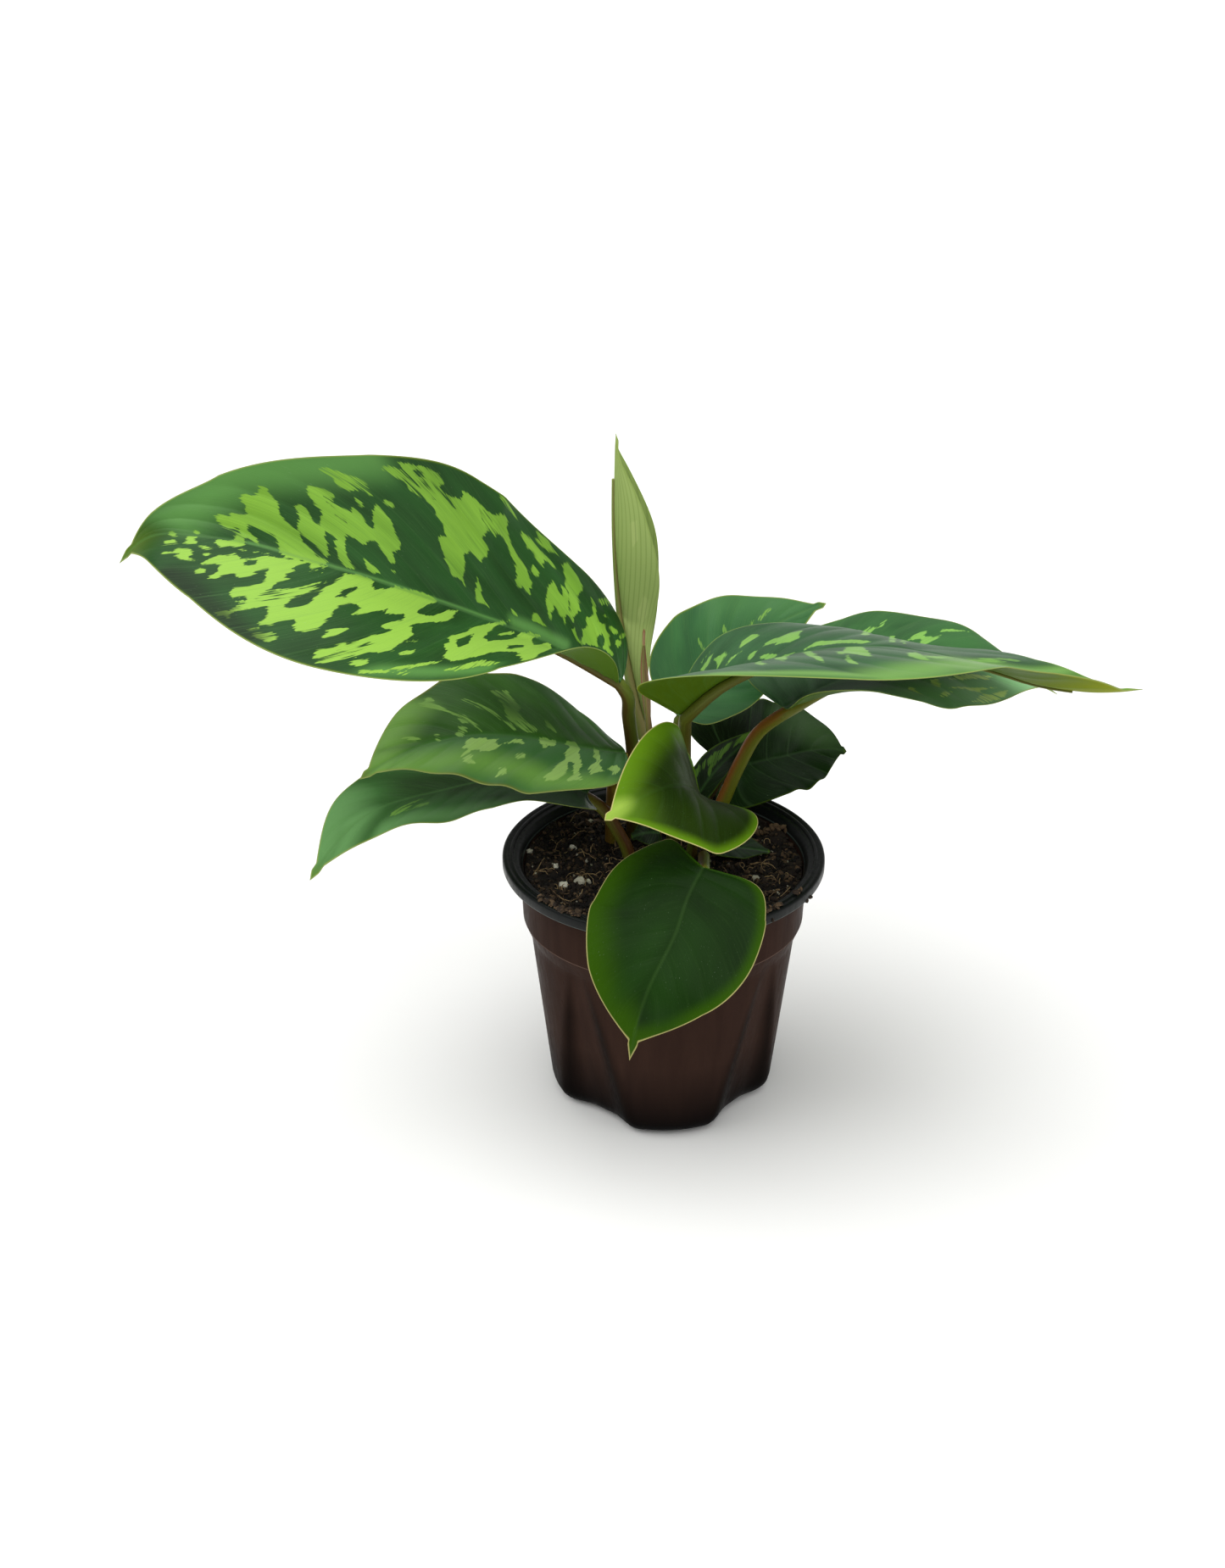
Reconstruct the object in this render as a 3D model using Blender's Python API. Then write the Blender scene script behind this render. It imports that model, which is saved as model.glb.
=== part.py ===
"""Potted homalomena: a young plant with camouflage-marked leaves in a plain grower's pot, at its real size.

The origin is the middle of the pot's underside, +Z is up, and the front of the plant faces -Y.
All sizes below are in millimetres and degrees.
"""
import math

import bpy
from mathutils import Vector

MM = 0.001
GAP = 0.3  # clearance left between pieces that touch on the real plant

# Pot: a thin moulded shell with a rolled rim, a shoulder band and four broad flutes that widen and deepen
# downwards, so that it stands on four rounded lobes
POT_HEIGHT = 92.0
RIM_RADIUS = 55.0
RIM_DEPTH = 4.0
RIM_STEP_RADIUS = 51.6
BAND_TOP_RADIUS = 49.0
BAND_STEP = 0.7
SHOULDER_Z = 68.0
SHOULDER_RADIUS = 46.2
BASE_RADIUS = 38.2
CORNER_RADIUS = 7.0
WALL = 1.2
FLOOR = 1.6
FLUTES = 4
FIRST_FLUTE = -40.0  # from the front, towards +X
FLUTE_FOOT_ANGLE = 27.0  # half the angle that a flute takes at the foot
FLUTE_TOP_ANGLE = 4.0  # and at its top
FLUTE_ROUND = 1.6  # over 1 makes the bottom of a flute flatter and broader
FLUTE_DEPTH = 5.8
FLUTE_TOP_Z = 66.0
DRAIN_RADIUS = 4.5
DRAIN_RING_RADIUS = 21.0
ROUND_STEPS = 48

# Potting mix: fills the pot to a little under the rim
SOIL_LEVEL = 85.0
SOIL_BUMP = 0.9
STALK_DEPTH = 20.0  # how far each stalk goes down into the mix

# Leaves: blade thickness and the way the veins leave the midrib
BLADE = 0.8
VEIN_START = 1.5  # a vein that reaches the margin at u leaves the midrib at u ** VEIN_START
VEIN_BEND = 1.3
LOBE_SPAN = 0.35  # the part of the margin, from the base, that the lobes take
MARGIN_THIN = 1.6  # half-width of the drip tip

# One entry for each leaf:
#   foot         where the stalk enters the mix (x, y)
#   stalk        points that the stalk passes on its way to the blade
#   radius       stalk radius at the mix
#   midrib       points along the midrib, from the blade's base to its tip
#   faces        where the upper side looks at base, middle and tip: azimuth from the front to +X, elevation
#   width        greatest half-widths, left and right of the midrib as seen from above the leaf
#   lobe         how strongly each half is drawn back at the base
#   belly        place of the widest point of each half: under 1 moves it to the base, over 1 to the tip
#   fold, curl   for left and right, at base, middle and tip: the angle up from flat beside the midrib, and
#                the further angle gained by the margin
#   wave         height, number and phase of the waves along the margin
#   tip          length of the drip tip as a share of the midrib
#   grid         rows along the blade, columns across each half
LEAVES = {
    "leaf_left_large": dict(
        foot=(-10, 25), radius=2.6,
        stalk=[(-10, 22, 95), (-10.5, 17, 122), (-12, 10, 138), (-13, 3, 150)],
        midrib=[(-14.5, 0.5, 155.5), (-33.5, 2.5, 166), (-62, -2.5, 180), (-104.5, -13.5, 200.5),
                (-144, -9.5, 209.5), (-164, -3, 207.5), (-177, 4, 195.5)],
        faces=[(1, 61), (1, 55), (-4, 54)], width=(49, 43), lobe=(13, 17), belly=(0.81, 0.76),
        fold=[(77, 14, 5), (-15, 27, 15)], curl=[(20, 11, 4), (-34, 17, 8)],
        wave=(0.5, 3, 0.1), tip=0.03, grid=(18, 5)),
    "leaf_spear": dict(
        foot=(-3, 31), stalk=[(-3, 31, 98), (-3, 29.5, 112)], radius=2.8,
        midrib=[(-5, 27.5, 124.5), (-9, 28, 141), (-13, 30, 161.8), (-16, 25.5, 193.5), (-16, 18, 234.5)],
        faces=[(90, 0), (90, 0), (90, 0)], width=(15, 15), lobe=(0, 0), belly=(1.25, 1.25),
        fold=[(85, 80, 75), (95, 92, 88)], curl=[(0, 0, 0), (0, 0, 0)],
        wave=(0.3, 3, 0.2), tip=0.03, grid=(16, 4)),
    "leaf_sheath": dict(
        foot=(-2, 22), stalk=[(-3, 18, 105)], radius=1.5,
        midrib=[(-5, 9, 133), (-6, 8, 145), (-7, 8, 158), (-7, 8, 171)],
        faces=[(180, 5), (180, 5), (180, 5)], width=(2.2, 2.2), lobe=(0, 0), belly=(0.8, 0.8),
        fold=[(30, 30, 20), (30, 30, 20)], curl=[(0, 0, 0), (0, 0, 0)],
        wave=(0, 1, 0), tip=0.03, grid=(9, 2)),
    "leaf_back_right": dict(
        foot=(5, 34), stalk=[(4, 32, 105)], radius=2.2,
        midrib=[(6, 29, 129), (18, 52, 133), (39, 76, 142), (61, 93, 145)],
        faces=[(33, 67), (33, 57), (32, 65)], width=(25, 17), lobe=(13, 13), belly=(0.73, 0.73),
        fold=[(33, 9, 3), (22, 0, 0)], curl=[(10, 0, 1), (0, -7, -2)],
        wave=(0.8, 4, 0.3), tip=0.03, grid=(14, 4)),
    "leaf_right_front": dict(
        foot=(4, 21), stalk=[(5, 20, 97), (7, 17, 113), (7, 13, 128)], radius=2.6,
        midrib=[(5.5, 4.5, 141.5), (17, 2.5, 153.5), (33.5, 1.5, 162), (68.5, 2, 167),
                (106, 5.5, 158), (124.5, 3, 153), (140.5, 2, 151), (159, 6, 150)],
        faces=[(-4, 103), (4, 99), (2, 100)], width=(42, 49), lobe=(18, 15), belly=(0.93, 0.74),
        fold=[(37, 2, 33), (42, 12, 61)], curl=[(14, -22, -4), (-30, -15, 4)],
        wave=(0.5, 3, 0.4), tip=0.03, grid=(18, 5)),
    "leaf_right_back": dict(
        foot=(16, 22), stalk=[(21, 23, 99), (27, 24, 114), (33, 23, 126)], radius=2.6,
        midrib=[(41, 21, 136), (59, 31, 141), (88, 40, 146), (116, 44, 142), (140, 50, 128)],
        faces=[(-1, 91), (-2, 85), (0, 82)], width=(35, 40), lobe=(16, 16), belly=(0.79, 0.79),
        fold=[(19, 6, 5), (37, 4, 0)], curl=[(-5, -9, -1), (2, -4, -2)],
        wave=(0.7, 4, 0), tip=0.06, grid=(16, 4)),
    "leaf_right_dark": dict(
        foot=(13, 35), stalk=[(17, 39, 94)], radius=2.2,
        midrib=[(24, 43, 102), (42, 48, 104), (60, 53, 105), (67, 55, 103)],
        faces=[(0, 61), (-2, 68), (4, 48)], width=(31, 21), lobe=(16, 16), belly=(0.82, 0.82),
        fold=[(2, 2, 4), (3, 10, 2)], curl=[(0, -11, -3), (-1, 4, 1)],
        wave=(1.0, 5, 0.2), tip=0.03, grid=(14, 4)),
    "leaf_right_folded": dict(
        foot=(12, 28), stalk=[(11.5, 28, 91)], radius=1.6,
        midrib=[(11, 28, 96), (19, 32, 107), (30, 36, 116.5), (36, 38, 121.5)],
        faces=[(-21, 40), (-22, 40), (-22, 40)], width=(7, 5), lobe=(4, 4), belly=(0.72, 0.72),
        fold=[(20, 30, 30), (20, 30, 30)], curl=[(0, 0, 0), (0, 0, 0)],
        wave=(0, 1, 0), tip=0.03, grid=(10, 2)),
    "leaf_left_middle": dict(
        foot=(-18, 20), stalk=[(-17.5, 19, 106), (-17, 13, 117)], radius=2.2,
        midrib=[(-13, 8.5, 125), (-27, 6.5, 128), (-46.5, 5, 132.5), (-63.5, 1.5, 135),
                (-85.5, -6, 132.5), (-100.5, -16, 127.5)],
        faces=[(0, 81), (-1, 69), (0, 68)], width=(26, 31), lobe=(10, 7), belly=(0.67, 0.82),
        fold=[(12, 3, 2), (-17, 4, 1)], curl=[(-2, -8, -2), (-1, -6, -2)],
        wave=(1.0, 5, 0.4), tip=0.03, grid=(16, 4)),
    "leaf_left_low": dict(
        foot=(-12, 9), stalk=[(-16, 10, 95), (-20, 12, 101)], radius=2.4,
        midrib=[(-26, 16, 106), (-45, 20, 110), (-76, 14, 108), (-101, 1, 105), (-119, -17, 90)],
        faces=[(-1, 81), (-3, 84), (-4, 75)], width=(26, 29), lobe=(23, 14), belly=(0.71, 0.71),
        fold=[(22, 12, 8), (11, 5, 1)], curl=[(7, -5, 1), (0, -5, -2)],
        wave=(0.8, 4, 0.1), tip=0.03, grid=(15, 4)),
    "leaf_front_upper": dict(
        foot=(10, 9), stalk=[(11, 5, 97), (12, 0, 108)], radius=2.0,
        midrib=[(13, -6, 115.5), (1, -26.5, 130), (-9.5, -35, 129.5), (-20, -41.5, 125.5)],
        faces=[(-1, 63), (3, 49), (-10, 54)], width=(27, 22), lobe=(7, 10), belly=(0.71, 0.65),
        fold=[(25, 0, 2), (45, 19, 9)], curl=[(-15, -7, -1), (-18, -6, -2)],
        wave=(0.3, 3, 0), tip=0.03, grid=(14, 4)),
    "leaf_front_lower": dict(
        foot=(14, 3), stalk=[(13.5, -6, 93), (13, -20, 99)], radius=2.2,
        midrib=[(12, -41, 108), (7, -49, 102), (3, -58, 94), (-6, -69, 79), (-12, -69, 52)],
        faces=[(-8, 64), (-8, 47), (-11, 19)], width=(28, 29), lobe=(12, 19), belly=(0.75, 0.75),
        fold=[(0, 11, 5), (-11, 10, 5)], curl=[(-8, -2, 1), (-15, -4, -1)],
        wave=(0.3, 3, 0.5), tip=0.09, grid=(15, 4)),
    "leaf_soil_right": dict(
        foot=(20, 15), stalk=[(19, 12, 88.5)], radius=1.3,
        midrib=[(18, 9.5, 88.5), (27, 8.5, 88.5), (37, 7, 87.8)],
        faces=[(0, 88), (0, 88), (0, 88)], width=(9, 8), lobe=(4, 4), belly=(0.8, 0.8),
        fold=[(8, 3, 0), (8, 3, 0)], curl=[(0, 0, 0), (0, 0, 0)],
        wave=(0.2, 3, 0), tip=0.03, grid=(10, 3)),
    "leaf_soil_left": dict(
        foot=(-2, 15), stalk=[(-1.5, 14.5, 90)], radius=1.3,
        midrib=[(-1, 14, 91.5), (-6, 13, 92), (-11, 12.5, 90.5)],
        faces=[(0, 55), (0, 55), (0, 55)], width=(5, 5), lobe=(2, 2), belly=(0.8, 0.8),
        fold=[(8, 3, 0), (8, 3, 0)], curl=[(0, 0, 0), (0, 0, 0)],
        wave=(0, 1, 0), tip=0.03, grid=(9, 2)),
}
FOLD_ROUND = 3.0  # radius over which a fold turns up beside the midrib
STALK_SIDES = 8
KEEL_END = 0.85  # how far along the midrib its raised underside runs
KEEL_END_RADIUS = 0.6

# Colour, roughness and metallic value of each finish
FINISHES = {
    "pot": ((0.030, 0.022, 0.022), 0.38, 0.0),
    "soil": ((0.035, 0.020, 0.012), 0.95, 0.0),
    "leaf": ((0.050, 0.140, 0.035), 0.42, 0.0),
    "leaf_spear": ((0.300, 0.390, 0.170), 0.50, 0.0),
    "leaf_sheath": ((0.380, 0.220, 0.140), 0.60, 0.0),
    "leaf_front_upper": ((0.220, 0.420, 0.060), 0.42, 0.0),
}


# Shared helpers

def clear_scene():
    for thing in list(bpy.data.objects):
        bpy.data.objects.remove(thing, do_unlink=True)


def finish_for(name):
    """Each piece has its own material, named for it."""
    if name in FINISHES:
        colour, roughness, metallic = FINISHES[name]
    else:
        colour, roughness, metallic = FINISHES["leaf"]
    material = bpy.data.materials.new(name)
    material.use_nodes = True
    shader = material.node_tree.nodes["Principled BSDF"]
    shader.inputs["Base Color"].default_value = (*colour, 1.0)
    shader.inputs["Roughness"].default_value = roughness
    shader.inputs["Metallic"].default_value = metallic
    return material


def add_object(name, points, faces, smooth_angle=40.0):
    """A mesh object from points in millimetres."""
    mesh = bpy.data.meshes.new(name)
    mesh.from_pydata([tuple(c * MM for c in point) for point in points], [], faces)
    mesh.update()
    mesh.shade_smooth()
    mesh.set_sharp_from_angle(angle=math.radians(smooth_angle))
    piece = bpy.data.objects.new(name, mesh)
    bpy.context.collection.objects.link(piece)
    return piece


def combine(target, operation, tools):
    """Unite the target with the tools, or cut them from it, and remove them."""
    group = bpy.data.collections.new("tools")
    bpy.context.scene.collection.children.link(group)
    for tool in tools:
        group.objects.link(tool)
    boolean = target.modifiers.new(operation.lower(), "BOOLEAN")
    boolean.operation = operation
    boolean.solver = "EXACT"
    boolean.operand_type = "COLLECTION"
    boolean.collection = group
    evaluated = target.evaluated_get(bpy.context.evaluated_depsgraph_get())
    target.data = bpy.data.meshes.new_from_object(evaluated)
    target.modifiers.clear()
    for tool in tools:
        bpy.data.objects.remove(tool, do_unlink=True)
    bpy.data.collections.remove(group)


def smooth_curve(points, share):
    """Point and direction at a share (0 to 1) of the length of a smooth curve through the points."""
    spans = [(b - a).length for a, b in zip(points, points[1:])]
    total = sum(spans)
    knots = [0.0]
    for span in spans:
        knots.append(knots[-1] + span / total)
    last = len(points) - 1
    slopes = [(points[i + 1] - points[i]) / (knots[i + 1] - knots[i]) for i in range(last)]
    tangents = [slopes[0]]
    for i in range(1, last):
        weight = (knots[i] - knots[i - 1]) / (knots[i + 1] - knots[i - 1])
        tangents.append(slopes[i - 1] * (1 - weight) + slopes[i] * weight)
    tangents.append(slopes[-1])
    if last > 1:
        tangents[0] = slopes[0] * 1.5 - tangents[1] * 0.5
        tangents[-1] = slopes[-1] * 1.5 - tangents[-2] * 0.5
    inside = min(max(share, 0.0), 1.0)
    i = max(k for k in range(last) if knots[k] <= inside)
    step = knots[i + 1] - knots[i]
    t = (inside - knots[i]) / step
    point = (points[i] * (2 * t ** 3 - 3 * t ** 2 + 1) + tangents[i] * (step * (t ** 3 - 2 * t ** 2 + t))
             + points[i + 1] * (3 * t ** 2 - 2 * t ** 3) + tangents[i + 1] * (step * (t ** 3 - t ** 2)))
    direction = (points[i] * ((6 * t ** 2 - 6 * t) / step) + tangents[i] * (3 * t ** 2 - 4 * t + 1)
                 + points[i + 1] * ((6 * t - 6 * t ** 2) / step) + tangents[i + 1] * (3 * t ** 2 - 2 * t))
    direction = direction.normalized()
    return point + direction * ((share - inside) * total), direction


def ring_skin(rings):
    """Triangles between neighbouring rings of equal length, with a centre point closing each end."""
    count = len(rings[0])
    points = [point for ring in rings for point in ring]
    faces = []
    for level in range(len(rings) - 1):
        for k in range(count):
            a = level * count + k
            b = level * count + (k + 1) % count
            faces.append((a, b, b + count))
            faces.append((a, b + count, a + count))
    for ring, first, outward in ((rings[0], 0, False), (rings[-1], (len(rings) - 1) * count, True)):
        centre = len(points)
        points.append(sum((Vector(point) for point in ring), Vector()) / count)
        for k in range(count):
            a = first + k
            b = first + (k + 1) % count
            faces.append((a, b, centre) if outward else (b, a, centre))
    return points, faces


def tube(path, radii, sides):
    """A round closed rod along a path; its first ring is carried along without twisting."""
    rings = []
    across = None
    for i, (centre, radius) in enumerate(zip(path, radii)):
        ahead = path[min(i + 1, len(path) - 1)] - path[max(i - 1, 0)]
        ahead.normalize()
        if across is None:
            across = ahead.orthogonal().normalized()
        across = (across - ahead * across.dot(ahead)).normalized()
        other = ahead.cross(across)
        turns = [2 * math.pi * k / sides for k in range(sides)]
        rings.append([centre + (across * math.cos(a) + other * math.sin(a)) * radius for a in turns])
    return ring_skin(rings)


# Pot

def flute_at(angle, z):
    """How far the wall is drawn in at an angle from the front and a height."""
    if z >= FLUTE_TOP_Z:
        return 0.0
    spacing = 360.0 / FLUTES
    off = (angle - FIRST_FLUTE + spacing / 2) % spacing - spacing / 2
    half = FLUTE_FOOT_ANGLE + (FLUTE_TOP_ANGLE - FLUTE_FOOT_ANGLE) * z / FLUTE_TOP_Z
    if abs(off) >= half:
        return 0.0
    depth = FLUTE_DEPTH * (1 - z / FLUTE_TOP_Z)
    return depth * math.cos(math.pi / 2 * (abs(off) / half) ** FLUTE_ROUND) ** 2


def wall_radius(z):
    """Outer radius of the tapered wall, with its rounded bottom corner."""
    radius = BASE_RADIUS + (SHOULDER_RADIUS - BASE_RADIUS) * z / SHOULDER_Z
    if z < CORNER_RADIUS:
        radius -= CORNER_RADIUS - math.sqrt(CORNER_RADIUS ** 2 - (CORNER_RADIUS - z) ** 2)
    return radius


def turned_ring(radius, z):
    ring = []
    for k in range(ROUND_STEPS):
        angle = FIRST_FLUTE + 360.0 * k / ROUND_STEPS
        reach = radius - flute_at(angle, z)
        a = math.radians(angle)
        ring.append((reach * math.sin(a), -reach * math.cos(a), z))
    return ring


CORNER_HEIGHTS = [0.0, 0.8, 3.0, CORNER_RADIUS]
WALL_HEIGHTS = [26.0, 46.0, FLUTE_TOP_Z]


def band_radius(z):
    share = (z - SHOULDER_Z) / (POT_HEIGHT - RIM_DEPTH - SHOULDER_Z)
    return SHOULDER_RADIUS + BAND_STEP + (BAND_TOP_RADIUS - SHOULDER_RADIUS - BAND_STEP) * share


def inner_radius(z):
    if z > SHOULDER_Z:
        return band_radius(z) - WALL
    return wall_radius(z) - WALL


def make_pot():
    under_rim = POT_HEIGHT - RIM_DEPTH
    profile = [(wall_radius(z), z) for z in CORNER_HEIGHTS + WALL_HEIGHTS + [SHOULDER_Z]]
    profile += [(band_radius(SHOULDER_Z), SHOULDER_Z + BAND_STEP), (band_radius(under_rim), under_rim)]
    profile += [(RIM_RADIUS - 0.7, under_rim), (RIM_RADIUS, under_rim + 0.7)]
    profile += [(RIM_RADIUS, POT_HEIGHT - 0.8), (RIM_RADIUS - 0.8, POT_HEIGHT)]
    profile += [(RIM_STEP_RADIUS, POT_HEIGHT), (RIM_STEP_RADIUS - 0.4, POT_HEIGHT - 0.8)]
    profile.append((BAND_TOP_RADIUS + 0.4, POT_HEIGHT - 1.0))
    profile += [(inner_radius(z), z) for z in (under_rim, SOIL_LEVEL, SHOULDER_Z)]
    profile += [(inner_radius(z), z) for z in WALL_HEIGHTS[::-1] + [CORNER_RADIUS, 3.0, FLOOR]]
    points, faces = ring_skin([turned_ring(radius, z) for radius, z in profile])
    pot = add_object("pot", points, faces)
    drains = []
    for k in range(FLUTES):
        a = math.radians(FIRST_FLUTE + (k + 0.5) * 360.0 / FLUTES)
        centre = Vector((DRAIN_RING_RADIUS * math.sin(a), -DRAIN_RING_RADIUS * math.cos(a), 0.0))
        ends = [centre + Vector((0, 0, -FLOOR)), centre + Vector((0, 0, 2 * FLOOR))]
        drains.append(add_object("drain", *tube(ends, [DRAIN_RADIUS] * 2, 12)))
    combine(pot, "DIFFERENCE", drains)
    pot.data.materials.clear()
    pot.data.materials.append(finish_for("pot"))


# Leaves

def direction(azimuth, elevation):
    a = math.radians(azimuth)
    e = math.radians(elevation)
    return Vector((math.sin(a) * math.cos(e), -math.cos(a) * math.cos(e), math.sin(e)))


def between(values, share):
    """A smooth change through three values, given at base, middle and tip."""
    s = min(max(share, -0.1), 1.0)
    base, middle, tip = values
    return base * ((1 - s) * (1 - 2 * s)) + middle * (4 * s * (1 - s)) + tip * (s * (2 * s - 1))


def half_width(leaf, side, u):
    """Distance of the margin from the midrib line: a rounded lens that ends in a short drip tip."""
    widest = leaf["width"][side]
    body = widest * math.sin(math.pi * min(u / (1 - leaf["tip"]), 1.0) ** leaf["belly"][side])
    if u <= 0.5:
        return body
    return max(body, min(MARGIN_THIN, 0.3 * widest) * min((1 - u) / leaf["tip"], 1.0))


def leaf_point(leaf, u, t):
    """A point of the blade's middle surface, and the leaf's facing there.

    u runs along the margin from base (0) to tip (1), t across from the left margin (-1) to the right (1).
    """
    midrib = leaf["midrib_line"]
    length = leaf["length"]
    side = 1 if t > 0 else 0
    out = abs(t)
    reach = half_width(leaf, side, u)
    ahead = length * u - leaf["lobe"][side] * math.sin(math.pi * min(u / LOBE_SPAN, 1.0))
    start = length * u ** VEIN_START
    share = (start + (ahead - start) * out ** VEIN_BEND) / length
    centre, along = smooth_curve(midrib, share)
    facing = between([direction(*face) for face in leaf["faces"]], min(max(share, 0.0), 1.0))
    up = (facing - along * facing.dot(along)).normalized()
    right = along.cross(up)
    fold = math.radians(between(leaf["fold"][side], share))
    curl = math.radians(between(leaf["curl"][side], share))
    steps = 10
    across = 0.0
    rise = 0.0
    for k in range(steps):
        at = reach * out * (k + 0.5) / steps
        angle = fold * math.tanh(at / FOLD_ROUND) + curl * at / leaf["width"][side]
        across += math.cos(angle) * reach * out / steps
        rise += math.sin(angle) * reach * out / steps
    height, number, phase = leaf["wave"]
    sign = 1 if side else -1
    rise += sign * height * out ** 2 * math.sin(2 * math.pi * (number * u + phase)) * math.sin(math.pi * u)
    return centre + right * (sign * across) + up * rise, up


def blade_mesh(leaf):
    """A thin closed blade: an upper and a lower face split into triangles alike, joined along the margin."""
    rows, half = leaf["grid"]
    columns = 2 * half
    spread = [k / rows for k in range(rows + 1)]
    levels = [v * v * (3 - 2 * v) for v in spread]
    places = [k / half - 1 for k in range(columns + 1)]
    surface = [[leaf_point(leaf, u, t) for t in places] for u in levels]
    upper = []
    lower = []
    for i in range(rows + 1):
        for j in range(columns + 1):
            point, up = surface[i][j]
            down_rib = surface[min(i + 1, rows)][j][0] - surface[max(i - 1, 0)][j][0]
            to_right = surface[i][min(j + 1, columns)][0] - surface[i][max(j - 1, 0)][0]
            normal = to_right.cross(down_rib)
            if normal.length < 0.01 or i in (0, rows):
                normal = up
            normal = normal.normalized()
            upper.append(point + normal * (BLADE / 2))
            lower.append(point - normal * (BLADE / 2))
    base = [upper[0], lower[0]]
    tip = [upper[rows * (columns + 1)], lower[rows * (columns + 1)]]
    points = [*base]
    index = {}
    for i in range(1, rows):
        for j in range(columns + 1):
            index[i, j] = len(points)
            points.append(upper[i * (columns + 1) + j])
            points.append(lower[i * (columns + 1) + j])
    for j in range(columns + 1):
        index[0, j] = 0
        index[rows, j] = len(points)
    points += tip
    faces = []

    def pair(a, b, c):
        """The same triangle above and below."""
        if len({a, b, c}) == 3:
            faces.append((a, b, c))
            faces.append((c + 1, b + 1, a + 1))

    for i in range(rows):
        for j in range(columns):
            a, b = index[i, j], index[i, j + 1]
            d, c = index[i + 1, j], index[i + 1, j + 1]
            if j < half:
                pair(a, b, d)
                pair(b, c, d)
            else:
                pair(a, b, c)
                pair(a, c, d)
    rim = [index[i, 0] for i in range(rows, 0, -1)] + [index[i, columns] for i in range(rows)]
    for a, b in zip(rim, rim[1:] + rim[:1]):
        faces.append((b, a, a + 1))
        faces.append((b, a + 1, b + 1))
    return points, faces


def stalk_path(leaf):
    """Centre line and radius of the stalk, from its foot in the mix to the end of the midrib's underside."""
    x, y = leaf["foot"]
    foot = [Vector((x, y, SOIL_LEVEL - drop)) for drop in (STALK_DEPTH, STALK_DEPTH / 2, -1.5)]
    top = leaf["radius"] * 0.85
    base, up = leaf_point(leaf, 0.0, 0.0)
    controls = foot + [Vector(point) for point in leaf["stalk"]] + [base - up * (top - 0.1)]
    steps = 5 + 2 * len(leaf["stalk"])
    path = []
    radii = []
    for k in range(steps):
        share = k / steps
        path.append(smooth_curve(controls, share)[0])
        radii.append(leaf["radius"] + (top - leaf["radius"]) * share)
    for k in range(8):
        share = KEEL_END * k / 7
        radius = KEEL_END_RADIUS + (top - KEEL_END_RADIUS) * (1 - k / 7) ** 2
        point, up = leaf_point(leaf, share ** (1 / VEIN_START), 0.0)
        path.append(point - up * (radius - 0.1))
        radii.append(radius)
    return path, radii


def make_leaf(name, leaf):
    leaf["midrib_line"] = [Vector(point) for point in leaf["midrib"]]
    leaf["length"] = sum((b - a).length for a, b in zip(leaf["midrib_line"], leaf["midrib_line"][1:]))
    piece = add_object(name, *blade_mesh(leaf))
    path, radii = stalk_path(leaf)
    stalk = add_object("stalk", *tube(path, radii, STALK_SIDES))
    combine(piece, "UNION", [stalk])
    piece.data.materials.clear()
    piece.data.materials.append(finish_for(name))


# Potting mix

def soil_height(x, y):
    """The uneven top of the mix: a few crossing waves."""
    wave = math.sin(x * 0.31 + 1.0) * math.cos(y * 0.27) + 0.6 * math.sin(x * 0.55 - y * 0.43 + 2.0)
    return SOIL_LEVEL + SOIL_BUMP * wave


def make_soil():
    edge = turned_ring(inner_radius(SOIL_LEVEL) - GAP, SOIL_LEVEL)
    rings = []
    for share in (0.14, 0.32, 0.5, 0.68, 0.86):
        rings.append([(x * share, y * share, soil_height(x * share, y * share)) for x, y, z in edge])
    for z in [SOIL_LEVEL, SHOULDER_Z] + WALL_HEIGHTS[::-1] + [CORNER_RADIUS, 3.0]:
        rings.append(turned_ring(inner_radius(z) - GAP, z))
    rings.append(turned_ring(inner_radius(FLOOR) - 2 * GAP, FLOOR + 2 * GAP))
    points, faces = ring_skin(rings)
    # laid from the top down like the pot's inner wall, so the two skins run parallel, then turned outwards
    soil = add_object("soil", points, [face[::-1] for face in faces])
    holes = []
    for leaf in LEAVES.values():
        path, radii = stalk_path(leaf)
        above = next(k for k, point in enumerate(path) if point.z > SOIL_LEVEL + 2)
        path = [path[0] - Vector((0, 0, GAP))] + path[1:above + 1]
        radii = [radius + GAP for radius in radii[:above + 1]]
        holes.append(add_object("hole", *tube(path, radii, STALK_SIDES)))
    combine(soil, "DIFFERENCE", holes)
    soil.data.materials.clear()
    soil.data.materials.append(finish_for("soil"))


clear_scene()
make_pot()
for leaf_name, leaf_sizes in LEAVES.items():
    make_leaf(leaf_name, leaf_sizes)
make_soil()
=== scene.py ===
# Potted homalomena: a young plant with camouflage-marked leaves in a plain grower's pot.
# Sizes are in millimetres in the part's own frame: the origin is the middle of the pot's underside,
# +Z is up, and the front of the plant faces -Y.
import math

import bpy
import numpy as np
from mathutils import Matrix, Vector, noise


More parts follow.
